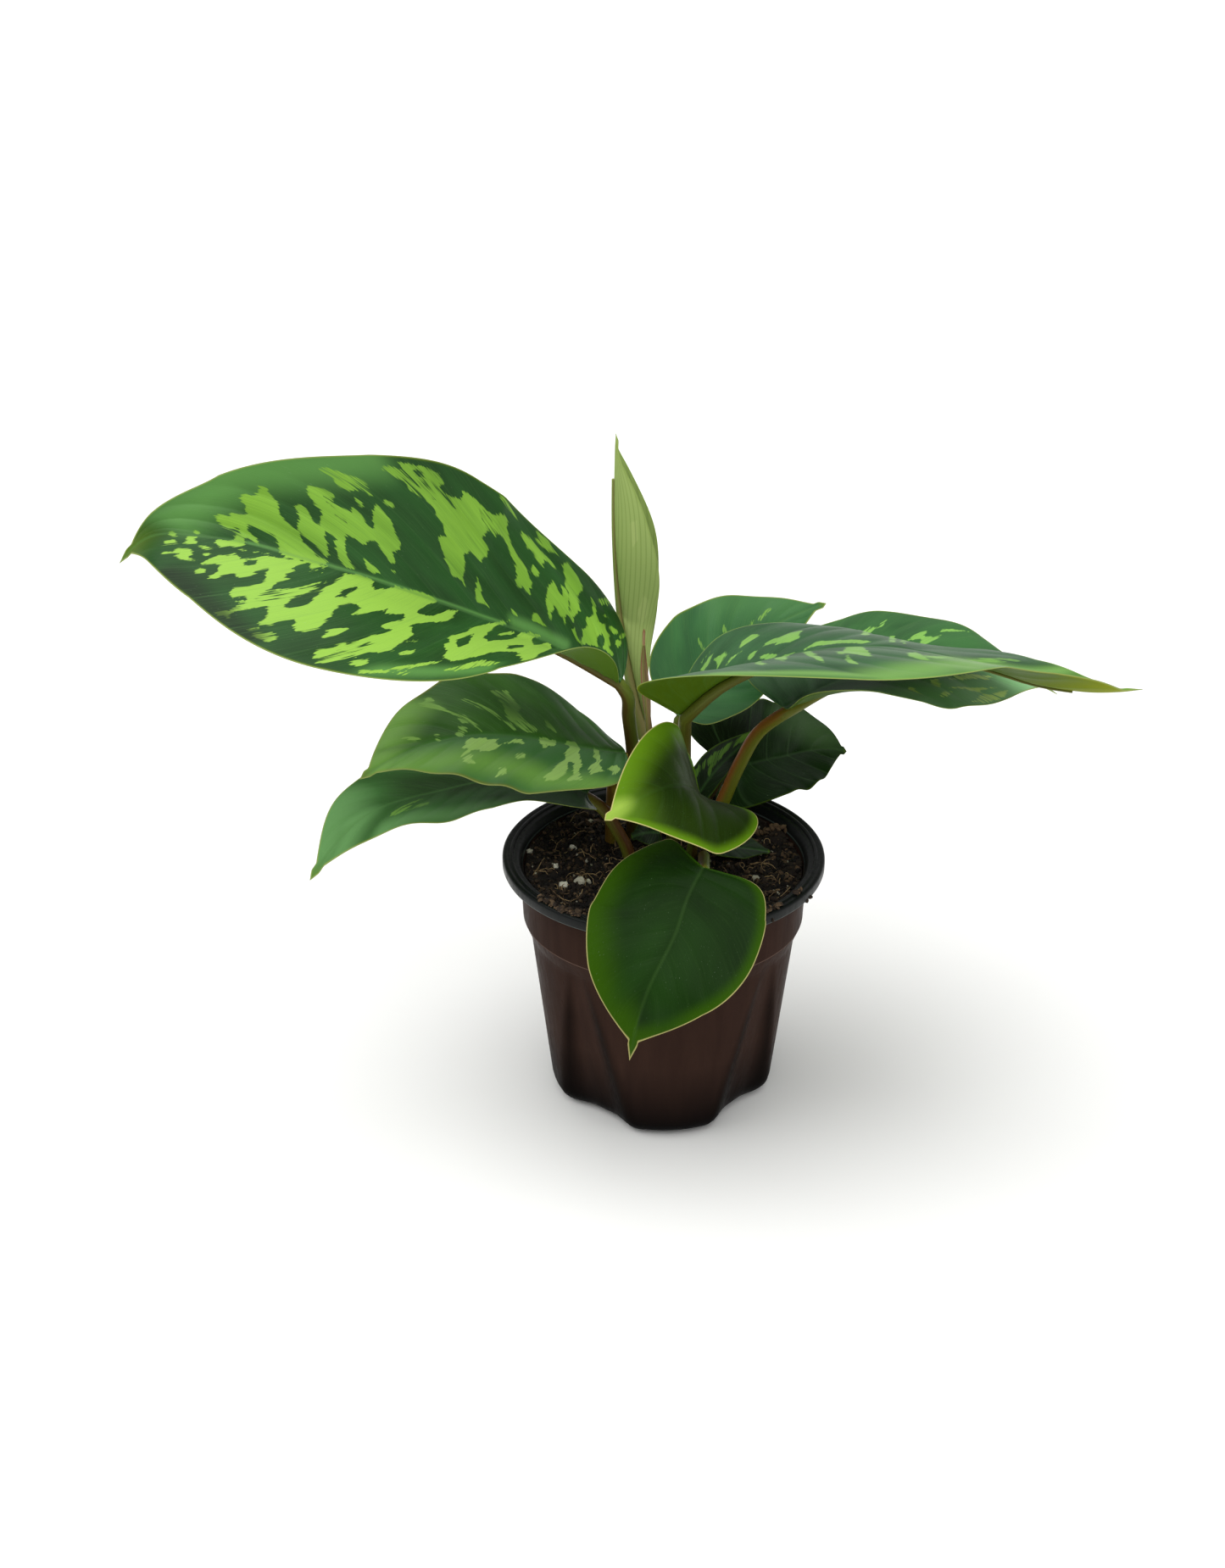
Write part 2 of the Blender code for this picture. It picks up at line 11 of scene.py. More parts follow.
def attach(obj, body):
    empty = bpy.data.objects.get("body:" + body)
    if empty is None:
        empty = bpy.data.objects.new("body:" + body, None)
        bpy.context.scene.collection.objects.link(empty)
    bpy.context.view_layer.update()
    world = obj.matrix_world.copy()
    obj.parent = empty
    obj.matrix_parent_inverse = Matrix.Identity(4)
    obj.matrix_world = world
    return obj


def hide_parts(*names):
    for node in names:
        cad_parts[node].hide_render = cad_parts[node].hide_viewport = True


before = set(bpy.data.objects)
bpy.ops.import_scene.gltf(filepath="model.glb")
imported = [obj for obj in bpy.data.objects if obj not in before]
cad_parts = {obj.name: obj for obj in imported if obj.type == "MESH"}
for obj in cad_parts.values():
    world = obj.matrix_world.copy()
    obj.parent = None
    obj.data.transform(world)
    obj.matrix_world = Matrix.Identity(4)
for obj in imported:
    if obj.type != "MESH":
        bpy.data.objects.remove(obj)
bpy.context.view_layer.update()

MM = 0.001


# Studio
# A white sweep of board under a wide overhead lamp, with a weaker one in front, as for a catalogue
# picture. The board is matt, so it bounces soft light up under the leaves.

CAMERA_AIM = (-17.4, 0.0, 117.5)
CAMERA_DISTANCE = 799.0
CAMERA_TILT = 26.73  # degrees below level
FOCAL_PIXELS = 2800.0
PHOTO_HEIGHT_PIXELS = 1850.0
SENSOR = 36.0
SKY_STRENGTH = 0.42
LAMPS = [("overhead", 2.8, (6, -14, 0)), ("front", 0.95, (72, 0, 30))]  # energy, and turn in degrees
LAMP_SPREAD = 80.0  # degrees, so wide that shadows have no edge
FLOOR_SIZE = 12000.0  # past every edge of the view
FLOOR_GAP = 0.2  # how far the board lies under the pot


def linear(hex_colour):
    """An sRGB hex colour as linear red, green, blue and alpha."""
    channels = [int(hex_colour[i:i + 2], 16) / 255 for i in (1, 3, 5)]
    return tuple(c / 12.92 if c <= 0.04045 else ((c + 0.055) / 1.055) ** 2.4 for c in channels) + (1.0,)


def new_material(name, **shader_values):
    """A Principled material; returns it with its node tree and shader."""
    material = bpy.data.materials.new(name)
    material.use_nodes = True
    tree = material.node_tree
    shader = tree.nodes["Principled BSDF"]
    for socket, value in shader_values.items():
        shader.inputs[socket.replace("_", " ")].default_value = value
    return material, tree, shader


tilt = math.radians(CAMERA_TILT)
camera = bpy.data.objects.new("camera", bpy.data.cameras.new("camera"))
camera.data.lens = FOCAL_PIXELS / PHOTO_HEIGHT_PIXELS * SENSOR
camera.data.sensor_width = SENSOR
camera.data.clip_start = 50 * MM
camera.location = (Vector(CAMERA_AIM) + Vector((0, -math.cos(tilt), math.sin(tilt))) * CAMERA_DISTANCE) * MM
camera.rotation_euler = (math.pi / 2 - tilt, 0, 0)
bpy.context.scene.collection.objects.link(camera)
bpy.context.scene.camera = camera
bpy.context.scene.view_settings.view_transform = "Standard"

sky = bpy.data.worlds.new("studio")
sky.use_nodes = True
sky.node_tree.nodes["Background"].inputs["Color"].default_value = linear("#ffffff")
sky.node_tree.nodes["Background"].inputs["Strength"].default_value = SKY_STRENGTH
bpy.context.scene.world = sky

for name, energy, turn in LAMPS:
    lamp = bpy.data.objects.new(name, bpy.data.lights.new(name, "SUN"))
    lamp.data.energy = energy
    lamp.data.angle = math.radians(LAMP_SPREAD)
    lamp.rotation_euler = [math.radians(angle) for angle in turn]
    bpy.context.scene.collection.objects.link(lamp)

half = FLOOR_SIZE / 2 * MM
floor_mesh = bpy.data.meshes.new("floor")
floor_mesh.from_pydata([(-half, -half, 0), (half, -half, 0), (half, half, 0), (-half, half, 0)], [],
                       [(0, 1, 2, 3)])
floor = bpy.data.objects.new("floor", floor_mesh)
floor.location.z = -FLOOR_GAP * MM
bpy.context.scene.collection.objects.link(floor)
# Matt white board: painted, with no shine that would show the lamps
board, _, _ = new_material("matt white board", Base_Color=linear("#f4f4f2"), Roughness=0.9)
floor_mesh.materials.append(board)


# Pot
# A thin-walled grower's pot, injection moulded in brown-black polypropylene: a rolled rim over a plain band,
# a sloping shoulder, and four broad flutes that deepen downwards, so that it stands on four rounded lobes
# with a drain hole inside each.

POT_HEIGHT = 92.0
RIM_RADIUS = 55.0
RIM_DEPTH = 4.0
UNDER_RIM = POT_HEIGHT - RIM_DEPTH
# The rolled rim's section, in from the rim's edge and up from its underside.
RIM_ROLL = [(5.5, -0.05), (0.8, 0), (0.2, 0.3), (0, 0.8), (0, 3.0), (0.1, 3.5), (0.5, 3.9), (1.0, 4.0),
            (1.7, 3.9), (2.0, 3.7), (2.4, 3.7), (2.7, 3.95), (3.2, 4.0), (3.6, 3.8), (3.8, 3.3), (4.3, 3.1),
            (5.0, 3.1), (5.4, 2.9), (5.8, 2.4), (6.4, 1.6)]
BAND_TOP_RADIUS = 49.0
BAND_Z = 69.3
BAND_RADIUS = 48.2
SHOULDER_Z = 68.0
SHOULDER_FOOT_Z = 63.0
SHOULDER_RADIUS = 46.2
BASE_RADIUS = 38.2
CORNER_RADIUS = 7.0
WALL = 1.2
FLOOR_THICK = 1.6
FLUTES = 4
FIRST_FLUTE = -40.0  # degrees from the front, towards +X
FLUTE_FOOT_ANGLE = 27.0  # half the angle that a flute takes at the foot
FLUTE_TOP_ANGLE = 4.0  # and at its top
FLUTE_ROUND = 1.6  # over 1 makes the bottom of a flute flatter and broader
FLUTE_DEPTH = 5.8
FLUTE_TOP_Z = 66.0
FLUTE_PAINTED_SHADE = 0.75  # how dark the painted shade on a flute's walls is
NOTCH_HEIGHT = 1.1  # a small arch under each lobe lets water out
NOTCH_HALF_ANGLE = 7.0
DRAIN_RADIUS = 4.5
DRAIN_RING_RADIUS = 21.0
POT_STEPS = 300


def add_node(tree, kind, sockets, **settings):
    """A shader node. Each of its sockets is set to a value or linked from another node's output."""
    made = tree.nodes.new(kind)
    for name, value in settings.items():
        setattr(made, name, value)
    for name, value in sockets.items():
        if isinstance(value, bpy.types.NodeSocket):
            tree.links.new(value, made.inputs[name])
        else:
            made.inputs[name].default_value = value
    return made


def grain(tree, place, size, detail, roughness=0.5, seed=0.0):
    """Noise whose grains have the given size along each axis, in the units of place."""
    scale = [1 / length for length in size]
    scaled = add_node(tree, "ShaderNodeMapping", {"Vector": place, "Location": (0, 0, seed), "Scale": scale})
    sockets = {"Vector": scaled.outputs[0], "Scale": 1.0, "Detail": detail, "Roughness": roughness}
    return add_node(tree, "ShaderNodeTexNoise", sockets).outputs["Fac"]


def paint(tree, base, layers):
    """Lays colours over a base colour, one after another.

    A layer is (value, low, high, most, colour): it covers nothing where its value is at low, and the share
    that most gives where it is at high. A colour is a hex or another node's output.
    """
    base = linear(base)
    for value, low, high, most, colour in layers:
        ramp = {"Value": value, "From Min": low, "From Max": high, "To Max": most}
        share = add_node(tree, "ShaderNodeMapRange", ramp).outputs[0]
        over = linear(colour) if isinstance(colour, str) else colour
        mixed = add_node(tree, "ShaderNodeMix", {"Factor": share, 6: base, 7: over}, data_type="RGBA")
        base = mixed.outputs[2]
    return base


def add_piece(name, points, faces, materials, smooth_angle=50.0):
    """A mesh piece from points in millimetres and faces as lists of their numbers."""
    mesh = bpy.data.meshes.new(name)
    mesh.from_pydata((np.asarray(points, float) * MM).tolist(), [], faces)
    for material in materials:
        mesh.materials.append(material)
    mesh.shade_smooth()
    mesh.set_sharp_from_angle(angle=math.radians(smooth_angle))
    piece = bpy.data.objects.new(name, mesh)
    bpy.context.scene.collection.objects.link(piece)
    return piece


def set_values(piece, name, values):
    """A number for each point of a piece, which its material reads by name."""
    layer = piece.data.attributes.new(name, "FLOAT", "POINT")
    layer.data.foreach_set("value", np.asarray(values, np.float32))


def ring_faces(rows, columns):
    """Quads between rings of points, rows of them with columns points each."""
    faces = []
    for i in range(rows - 1):
        for j in range(columns):
            k = (j + 1) % columns
            faces.append((i * columns + j, i * columns + k, (i + 1) * columns + k, (i + 1) * columns + j))
    return faces


def pot_outer_radius(z):
    """The tapered wall with its rounded corner at the foot, and above it the shoulder and the band."""
    z_wall = min(z, SHOULDER_FOOT_Z)
    radius = BASE_RADIUS + (SHOULDER_RADIUS - BASE_RADIUS) * z_wall / SHOULDER_Z
    if z < CORNER_RADIUS:
        radius -= CORNER_RADIUS - math.sqrt(CORNER_RADIUS ** 2 - (CORNER_RADIUS - z) ** 2)
    return float(np.interp(z, (SHOULDER_FOOT_Z, BAND_Z, UNDER_RIM), (radius, BAND_RADIUS, BAND_TOP_RADIUS)))


def pot_inner_radius(z):
    return pot_outer_radius(z) - WALL


def from_flute(degrees):
    """Degrees to the middle of the nearest flute."""
    spacing = 360.0 / FLUTES
    return abs((degrees - FIRST_FLUTE + spacing / 2) % spacing - spacing / 2)


def flute_half_angle(drop):
    return FLUTE_TOP_ANGLE + (FLUTE_FOOT_ANGLE - FLUTE_TOP_ANGLE) * drop


def pot_ring(radius, z, notched=False):
    """One turn of the pot's surface, drawn in at the flutes and, where notched, arched under the lobes."""
    degrees = FIRST_FLUTE + 360.0 * np.arange(POT_STEPS) / POT_STEPS
    off = from_flute(degrees)
    drop = max(0.0, 1 - z / FLUTE_TOP_Z)
    across = np.minimum(off / flute_half_angle(drop), 1)
    reach = radius - FLUTE_DEPTH * drop * np.cos(np.pi / 2 * across ** FLUTE_ROUND) ** 2
    height = np.full(POT_STEPS, float(z))
    if notched:
        from_lobe = 180.0 / FLUTES - off
        height += NOTCH_HEIGHT * np.clip(1 - (from_lobe / NOTCH_HALF_ANGLE) ** 2, 0, 1)
    a = np.radians(degrees)
    return np.stack([reach * np.sin(a), -reach * np.cos(a), height], 1)


def pot_rings():
    """The pot's surface, turn by turn: from under its foot up the outside, over the rim and down inside."""
    foot = pot_outer_radius(0)
    rings = [pot_ring(foot * 0.86, 0.0), pot_ring(foot * 0.97, 0.0, True), pot_ring(foot, 0.05, True),
             pot_ring(pot_outer_radius(0.3), 0.3, True)]
    corner = [CORNER_RADIUS * (1 - math.cos(math.radians(a))) for a in range(30, 91, 15)]
    wall = list(np.linspace(CORNER_RADIUS + 2, SHOULDER_FOOT_Z, 24))
    band = [SHOULDER_FOOT_Z + 0.4, BAND_Z - 0.3, BAND_Z, BAND_Z + 0.3, 76.0, 82.0, UNDER_RIM - 0.3]
    rings += [pot_ring(pot_outer_radius(z), z) for z in corner + wall + band]
    rings += [pot_ring(RIM_RADIUS - inset, UNDER_RIM + rise) for inset, rise in RIM_ROLL]
    inside = [UNDER_RIM - 1, 84, 76, SHOULDER_Z, 54, 40, 26, 14, CORNER_RADIUS, 3.0, FLOOR_THICK + 0.2]
    rings += [pot_ring(pot_inner_radius(z), z) for z in inside]
    return rings + [pot_ring(pot_inner_radius(FLOOR_THICK) - 2, FLOOR_THICK)]


def drill_drains(pot):
    for k in range(FLUTES):
        a = math.radians(FIRST_FLUTE + (k + 0.5) * 360.0 / FLUTES)
        centre = Vector((DRAIN_RING_RADIUS * math.sin(a), -DRAIN_RING_RADIUS * math.cos(a), 0.0)) * MM
        bpy.ops.mesh.primitive_cylinder_add(vertices=40, radius=DRAIN_RADIUS * MM, depth=6 * MM,
                                            location=centre)
        drill = bpy.context.active_object
        cut = pot.modifiers.new("drain", "BOOLEAN")
        cut.operation = "DIFFERENCE"
        cut.object = drill
        with bpy.context.temp_override(object=pot, active_object=pot):
            bpy.ops.object.modifier_apply(modifier="drain")
        bpy.data.objects.remove(drill)


def pot_plastic():
    # Moulded polypropylene, coloured brown-black: satin, with faint upright flow lines and scuffs and a bluer
    # black over the rim; painted shade darkens the foot and the flutes' walls, and thin painted highlights
    # run along the rim's lower outer edge and the band's lower edge
    material, tree, shader = new_material("moulded polypropylene", IOR=1.49)
    place = add_node(tree, "ShaderNodeTexCoord", {}).outputs["Object"]
    height = add_node(tree, "ShaderNodeSeparateXYZ", {"Vector": place}).outputs["Z"]
    # The flute attribute holds the painted shade on the flutes' walls.
    flute = add_node(tree, "ShaderNodeAttribute", {}, attribute_name="flute").outputs["Fac"]
    flow = grain(tree, place, (5 * MM, 5 * MM, 60 * MM), 3.0)
    scuff = grain(tree, place, (1.2 * MM, 1.2 * MM, 9 * MM), 6.0, 0.7)
    # Painted highlights: thin pale lines along the rim's lower outer edge and along the band's lower edge.
    painted_highlight_lines = [add_node(tree, "ShaderNodeMath", {0: height, 1: z * MM, 2: wide * MM}, operation="COMPARE")
             for z, wide in ((UNDER_RIM + 0.3, 0.25), (BAND_Z + 0.1, 0.2))]
    colour = paint(tree, "#291c18", [
        (flow, 0.0, 1.0, 1.0, "#3a2922"),
        (height, (UNDER_RIM - 0.8) * MM, UNDER_RIM * MM, 1.0, "#0a0e0d"),
        (painted_highlight_lines[0].outputs[0], 0.0, 1.0, 0.5, "#56625e"),
        (painted_highlight_lines[1].outputs[0], 0.0, 1.0, 0.35, "#7a6458"),
        # Painted shade: darker towards the foot.
        (height, 30.0 * MM, 4.0 * MM, 1.0, "#0a0909"),
        # Painted shade in the flutes' walls.
        (flute, 0.0, 1.0, 1.0, "#080605"),
        (scuff, 0.68, 0.84, 0.3, "#5a4a3e")])
    worn = add_node(tree, "ShaderNodeMapRange", {"Value": scuff, "From Min": 0.3, "From Max": 0.75,
                                                 "To Min": 0.24, "To Max": 0.55})
    shine = add_node(tree, "ShaderNodeMapRange", {"Value": height, "From Min": (UNDER_RIM - 0.8) * MM,
                                                  "From Max": UNDER_RIM * MM, "To Min": 0.01, "To Max": 0.15})
    bump = add_node(tree, "ShaderNodeBump", {"Height": flow, "Strength": 0.25, "Distance": 0.4 * MM})
    tree.links.new(colour, shader.inputs["Base Color"])
    tree.links.new(worn.outputs[0], shader.inputs["Roughness"])
    tree.links.new(shine.outputs[0], shader.inputs["Specular IOR Level"])
    tree.links.new(bump.outputs[0], shader.inputs["Normal"])
    return material


rings = pot_rings()
points = np.concatenate(rings + [[(0, 0, 0)], [(0, 0, FLOOR_THICK)]])
faces = ring_faces(len(rings), POT_STEPS)
bottom, inside = len(points) - 2, len(points) - 1
last = (len(rings) - 1) * POT_STEPS
for k in range(POT_STEPS):
    after = (k + 1) % POT_STEPS
    faces.append((after, k, bottom))
    faces.append((last + k, last + after, inside))
pot = add_piece("grower_pot", points, faces, [pot_plastic()], smooth_angle=38.0)
drill_drains(pot)
corners = np.array([tuple(v.co) for v in pot.data.vertices])
off = from_flute(np.degrees(np.arctan2(corners[:, 0], -corners[:, 1])))
drop = np.clip(1 - corners[:, 2] / MM / FLUTE_TOP_Z, 0, 1)
# Painted shade: darkest where a flute's wall is steepest, three quarters of the way out from its middle.
from_slope = abs(off / flute_half_angle(drop) - 0.75)
set_values(pot, "flute", np.clip(1 - from_slope / 0.4, 0, 1) * np.clip(drop * 3, 0, 1) * FLUTE_PAINTED_SHADE)
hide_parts("pot")
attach(pot, "root")


# Potting mix
# Damp peat with composted bark, a little coir and perlite, filled to just under the rim. The mix is an
# uneven bed with loose crumbs, chips, fibres and perlite lying on it, and some spilled over the rim.

SOIL_LEVEL = 85.0
SOIL_BUMP = 0.9
HEAP = 1.8  # how much higher the mix stands against the wall
BED_RINGS = 60
BED_STEPS = 200
BED_GAP = 0.25  # between the mix and the pot's wall
BED_FLOOR = FLOOR_THICK + 0.7
STALK_FEET = [(-10, 25), (-3, 31), (-2, 22), (5, 34), (4, 21), (16, 22), (13, 35), (12, 28), (-18, 20),
              (-12, 9), (10, 9), (14, 3), (20, 15), (-2, 15)]  # where loose grains keep clear of the stalks
CRUMBS = 5200
CHIPS = 150
FIBRES = 260
FIBRE_RINGS = 9
SMALL_PERLITE = 110
PERLITE = [(-28.5, -11.7, 2.3), (-25.6, -10.2, 1.6), (-31.1, 13.1, 1.5), (-46.0, 8.5, 1.3), (-26.3, 6.3, 1.0),
           (-34.0, -13.5, 1.8), (-36.8, -1.5, 1.6), (31.0, -7.5, 1.6), (-19.5, 3.4, 0.8), (-33.8, 20.5, 0.9),
           (38.0, 12.0, 1.0), (42.5, 3.0, 0.9), (30.0, 30.0, 1.2), (-5.0, 40.0, 1.3), (-25.0, 33.0, 1.2),
           (20.0, 41.0, 1.1), (2.0, -38.0, 1.2), (-12.0, -30.0, 1.4), (25.0, -25.0, 0.9),
           (-40.5, -14.0, 0.8)]  # place and size of each large grain
SPILLS = [(-36.5, -39.5, 5.5, 60), (-30.5, -44.0, 4.5, 60), (-40.0, -34.0, 3.5, 26), (33.5, -42.0, 3.5, 26),
          (44.5, -29.5, 3.0, 22), (36.0, -39.5, 2.5, 14)]  # place, spread and number of crumbs on the rim
CLODS = [(48.3, -25.9, 88.6, 1.1), (47.0, -28.0, 88.4, 0.9), (34.8, -42.6, 89.3, 0.7),
         (-34.5, -42.0, 92.4, 0.9)]  # place and size of each lump stuck to the rim
CHIP_STRETCH = 1.4  # a lump drawn out further than this lies flat


def bed_height(x, y):
    """The mix's uneven top: the slow waves of its solid, with lumps and grains on them."""
    slow = math.sin(x * 0.31 + 1.0) * math.cos(y * 0.27) + 0.6 * math.sin(x * 0.55 - y * 0.43 + 2.0)
    lumps = noise.noise(Vector((x / 6, y / 6, 1.0))) * 1.1
    fine = noise.noise(Vector((x / 1.6, y / 1.6, 5.0))) * 0.8
    grit = noise.noise(Vector((x / 0.7, y / 0.7, 9.0))) * 0.3
    heaped = HEAP * np.interp(math.hypot(x, y), (40.0, 47.0), (0.0, 1.0))
    return SOIL_LEVEL + SOIL_BUMP * slow + lumps + (fine + grit) + float(heaped)


def add_up(tree, value, parts):
    """A value with other values added to it, each times its own weight."""
    for part, weight in parts:
        sockets = {0: part, 1: weight, 2: value}
        value = add_node(tree, "ShaderNodeMath", sockets, operation="MULTIPLY_ADD").outputs[0]
    return value


def earth_material(name, dark, mid, bright, roughness):
    # Peat, bark, coir and perlite are all matt and grainy; "tint" is each crumb's own shade, and on the bed
    # it follows the height
    material, tree, shader = new_material(name, Roughness=roughness, Specular_IOR_Level=0.3)
    tint = add_node(tree, "ShaderNodeAttribute", {}, attribute_name="tint").outputs["Fac"]
    place = add_node(tree, "ShaderNodeTexCoord", {}).outputs["Object"]
    fine = grain(tree, place, [0.9 * MM] * 3, 5.0)
    shade = add_up(tree, tint, [(fine, 0.5)])
    colour = paint(tree, dark, [(shade, 0.3, 0.75, 1.0, mid), (shade, 0.85, 1.25, 1.0, bright)])
    bump = add_node(tree, "ShaderNodeBump", {"Height": fine, "Strength": 0.8, "Distance": 0.3 * MM})
    tree.links.new(colour, shader.inputs["Base Color"])
    tree.links.new(bump.outputs[0], shader.inputs["Normal"])
    return material


def make_bed(material):
    edge = pot_ring(pot_inner_radius(SOIL_LEVEL) - BED_GAP, SOIL_LEVEL)[:, :2]
    turn = np.linspace(0, POT_STEPS, BED_STEPS, endpoint=False).astype(int)
    points = []
    for share in np.linspace(0.02, 1.0, BED_RINGS):
        points += [(x * share, y * share, bed_height(x * share, y * share)) for x, y in edge[turn]]
    sides = [(SHOULDER_Z, BED_GAP), (40.0, BED_GAP), (CORNER_RADIUS, BED_GAP), (BED_FLOOR, 1.0)]
    for z, gap in sides:
        points += pot_ring(pot_inner_radius(z) - gap, z)[turn].tolist()
    count = BED_RINGS + len(sides)
    faces = ring_faces(count, BED_STEPS)
    top, under = len(points), len(points) + 1
    points += [(0, 0, bed_height(0, 0)), (0, 0, BED_FLOOR)]
    last = (count - 1) * BED_STEPS
    for k in range(BED_STEPS):
        after = (k + 1) % BED_STEPS
        faces.append((after, k, top))
        faces.append((last + k, last + after, under))
    bed = add_piece("potting_mix", points, [face[::-1] for face in faces], [material], smooth_angle=80.0)
    # The bed's tint rises with its height, so the bed comes out darker in its hollows and lighter on its
    # rises.
    set_values(bed, "tint", np.clip([(p[2] - SOIL_LEVEL) * 0.08 + 0.12 for p in points], 0, 0.5))
    return bed


def ball_shape(fineness):
    """Corners and faces of a ball that lumps are made from."""
    bpy.ops.mesh.primitive_ico_sphere_add(subdivisions=fineness, radius=1.0)
    ball = bpy.context.active_object
    corners = np.array([tuple(v.co) for v in ball.data.vertices])
    faces = [tuple(f.vertices) for f in ball.data.polygons]
    bpy.data.objects.remove(ball)
    return corners, faces


def scatter(name, lumps, material, seed, roughen, ball):
    """Joins a rough lump for each (x, y, z, size, stretch, tint) into one piece."""
    draw = np.random.default_rng(seed)
    corners, ball_faces = ball
    points, faces, tints = [], [], []
    for x, y, z, size, stretch, tint in lumps:
        turn, _ = np.linalg.qr(draw.normal(size=(3, 3)))
        knobs = 1 + roughen * draw.normal(size=(len(corners), 1))
        flat = stretch > CHIP_STRETCH
        if flat:
            c, s = math.cos(x * 9), math.sin(x * 9)
            turn = np.array([[c, s, 0], [-s, c, 0], [0, 0, 1]]) + turn * 0.25
        shape = (corners * knobs * np.array([stretch, 1.0, 0.55 if flat else 0.8]) * size) @ turn + (x, y, z)
        faces += [tuple(k + len(points) for k in face) for face in ball_faces]
        points += shape.tolist()
        tints += [tint] * len(corners)
    piece = add_piece(name, points, faces, [material], smooth_angle=35.0)
    set_values(piece, "tint", tints)
    return piece


def anywhere(draw, radius):
    """A place drawn evenly within a radius of the pot's middle."""
    reach, turn = radius * math.sqrt(draw.random()), draw.random() * 2 * math.pi
    return reach * math.sin(turn), reach * math.cos(turn)


def clear_of_stalks(x, y, margin):
    return all((x - a) ** 2 + (y - b) ** 2 > margin ** 2 for a, b in STALK_FEET)


def rim_level(reach):
    """Height of the rim's top this far from the pot's middle, or None off the rim."""
    if 51.5 < reach < 54:
        return POT_HEIGHT
    return POT_HEIGHT - 0.8 if 49.3 < reach <= 51.5 else None


def make_fibres(material):
    draw = np.random.default_rng(11)
    points, faces, tints = [], [], []
    while len(points) < FIBRES * FIBRE_RINGS * 4:
        x, y = anywhere(draw, 45)
        heading, bend = draw.random() * 2 * math.pi, draw.normal() * 0.25
        length, radius = 3 + 9 * draw.random() ** 2, 0.10 + 0.14 * draw.random()
        hump, tint = 0.3 + draw.random() * 1.2, 0.5 + draw.random() * 0.8
        first, step = len(points), length / (FIBRE_RINGS - 1)
        for k in range(FIBRE_RINGS):
            z = bed_height(x, y) + 0.2 + hump * math.sin(math.pi * k / (FIBRE_RINGS - 1))
            a, b = -math.sin(heading) * radius, math.cos(heading) * radius
            points += [(x + a, y + b, z), (x, y, z + radius), (x - a, y - b, z), (x, y, z - radius)]
            tints += [tint] * 4
            x += math.cos(heading) * step
            y += math.sin(heading) * step
            heading += bend
        if math.hypot(x, y) > 46.5 or not clear_of_stalks(x, y, 4):
            del points[first:], tints[first:]
            continue
        faces += [tuple(first + k for k in face) for face in ring_faces(FIBRE_RINGS, 4)]
        end = first + 4 * (FIBRE_RINGS - 1)
        faces += [(first, first + 1, first + 2, first + 3), (end + 3, end + 2, end + 1, end)]
    piece = add_piece("coir_fibres", points, [face[::-1] for face in faces], [material])
    set_values(piece, "tint", tints)
    return piece


def lay_grains():
    """Places for the crumbs, chips, spilled crumbs and perlite, each as scatter takes them."""
    draw = np.random.default_rng(4)
    crumbs, chips, spilled = [], [], []
    while len(crumbs) < CRUMBS:
        x, y = anywhere(draw, 47)
        if clear_of_stalks(x, y, 3.2):
            size = 0.25 + 0.75 * draw.random() ** 2.2
            stretch = 1 + 0.3 * draw.random()
            crumbs.append((x, y, bed_height(x, y) + size * 0.45, size, stretch, draw.random() ** 1.6))
    while len(chips) < CHIPS:
        x, y = anywhere(draw, 45)
        if clear_of_stalks(x, y, 4.5):
            size = 0.4 + 0.6 * draw.random() ** 1.5
            stretch = 1.5 + 2 * draw.random()
            chips.append((x, y, bed_height(x, y) + size * 0.5, size, stretch, 0.2 + draw.random() * 0.9))
    for middle_x, middle_y, spread, count in SPILLS:
        for _ in range(count):
            x, y = middle_x + draw.normal() * spread * 0.45, middle_y + draw.normal() * spread * 0.45
            size, level = 0.3 + 0.7 * draw.random() ** 2, rim_level(math.hypot(x, y))
            if level is not None:
                stretch = 1 + draw.random() * 0.6
                spilled.append((x, y, level + size * 0.5, size, stretch, 0.2 + draw.random() * 0.9))
    spilled += [(x, y, z, size, 1.1, 0.45) for x, y, z, size in CLODS]
    white = [(x, y, bed_height(x, y) + size * 0.3, size * 0.75, 1.2, 0.3 + 0.5 * draw.random())
             for x, y, size in PERLITE]
    for _ in range(SMALL_PERLITE):
        x, y = anywhere(draw, 46)
        size = 0.22 + 0.35 * draw.random() ** 2
        white.append((x, y, bed_height(x, y) + size * 0.9, size, 1.1, 0.4 * draw.random()))
    for k in range(10):  # a twig of bark, in pieces that overlap
        x, y = 33.0 + k * 1.15, 26.5 - k * 0.55
        chips.append((x, y, bed_height(x, y) + 0.9, 1.15 - 0.05 * abs(k - 5), 1.3, 1.0))
    return crumbs, chips, spilled, white


crumbs, chips, spilled, white = lay_grains()
peat = earth_material("damp peat", "#0f0c0a", "#2a2118", "#56442f", 0.92)
bark = earth_material("composted bark", "#120d09", "#2d2218", "#5a4833", 0.85)
glassy = earth_material("expanded perlite", "#6c6959", "#b0ad9a", "#e2dfd0", 0.8)
fibre = earth_material("coir fibre", "#20170f", "#453423", "#86704f", 0.8)
bed = make_bed(peat)
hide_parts("soil")
for piece in (bed, scatter("peat_crumbs", crumbs, peat, 21, 0.16, ball_shape(1)),
              scatter("bark_chips", chips, bark, 22, 0.10, ball_shape(2)),
              scatter("spilled_crumbs", spilled, bark, 23, 0.16, ball_shape(1)),
              scatter("perlite", white, glassy, 24, 0.16, ball_shape(2)), make_fibres(fibre)):
    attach(piece, "root")


# Large left leaf
# The plant's show leaf, lifted highest: a heart-based blade with long lime camouflage patches that follow
# the side veins. Blade, midrib and stalk grew as one piece, so they are one mesh: a thin skin above and
# below, and a tapering round stalk that runs on under the blade as its midrib.

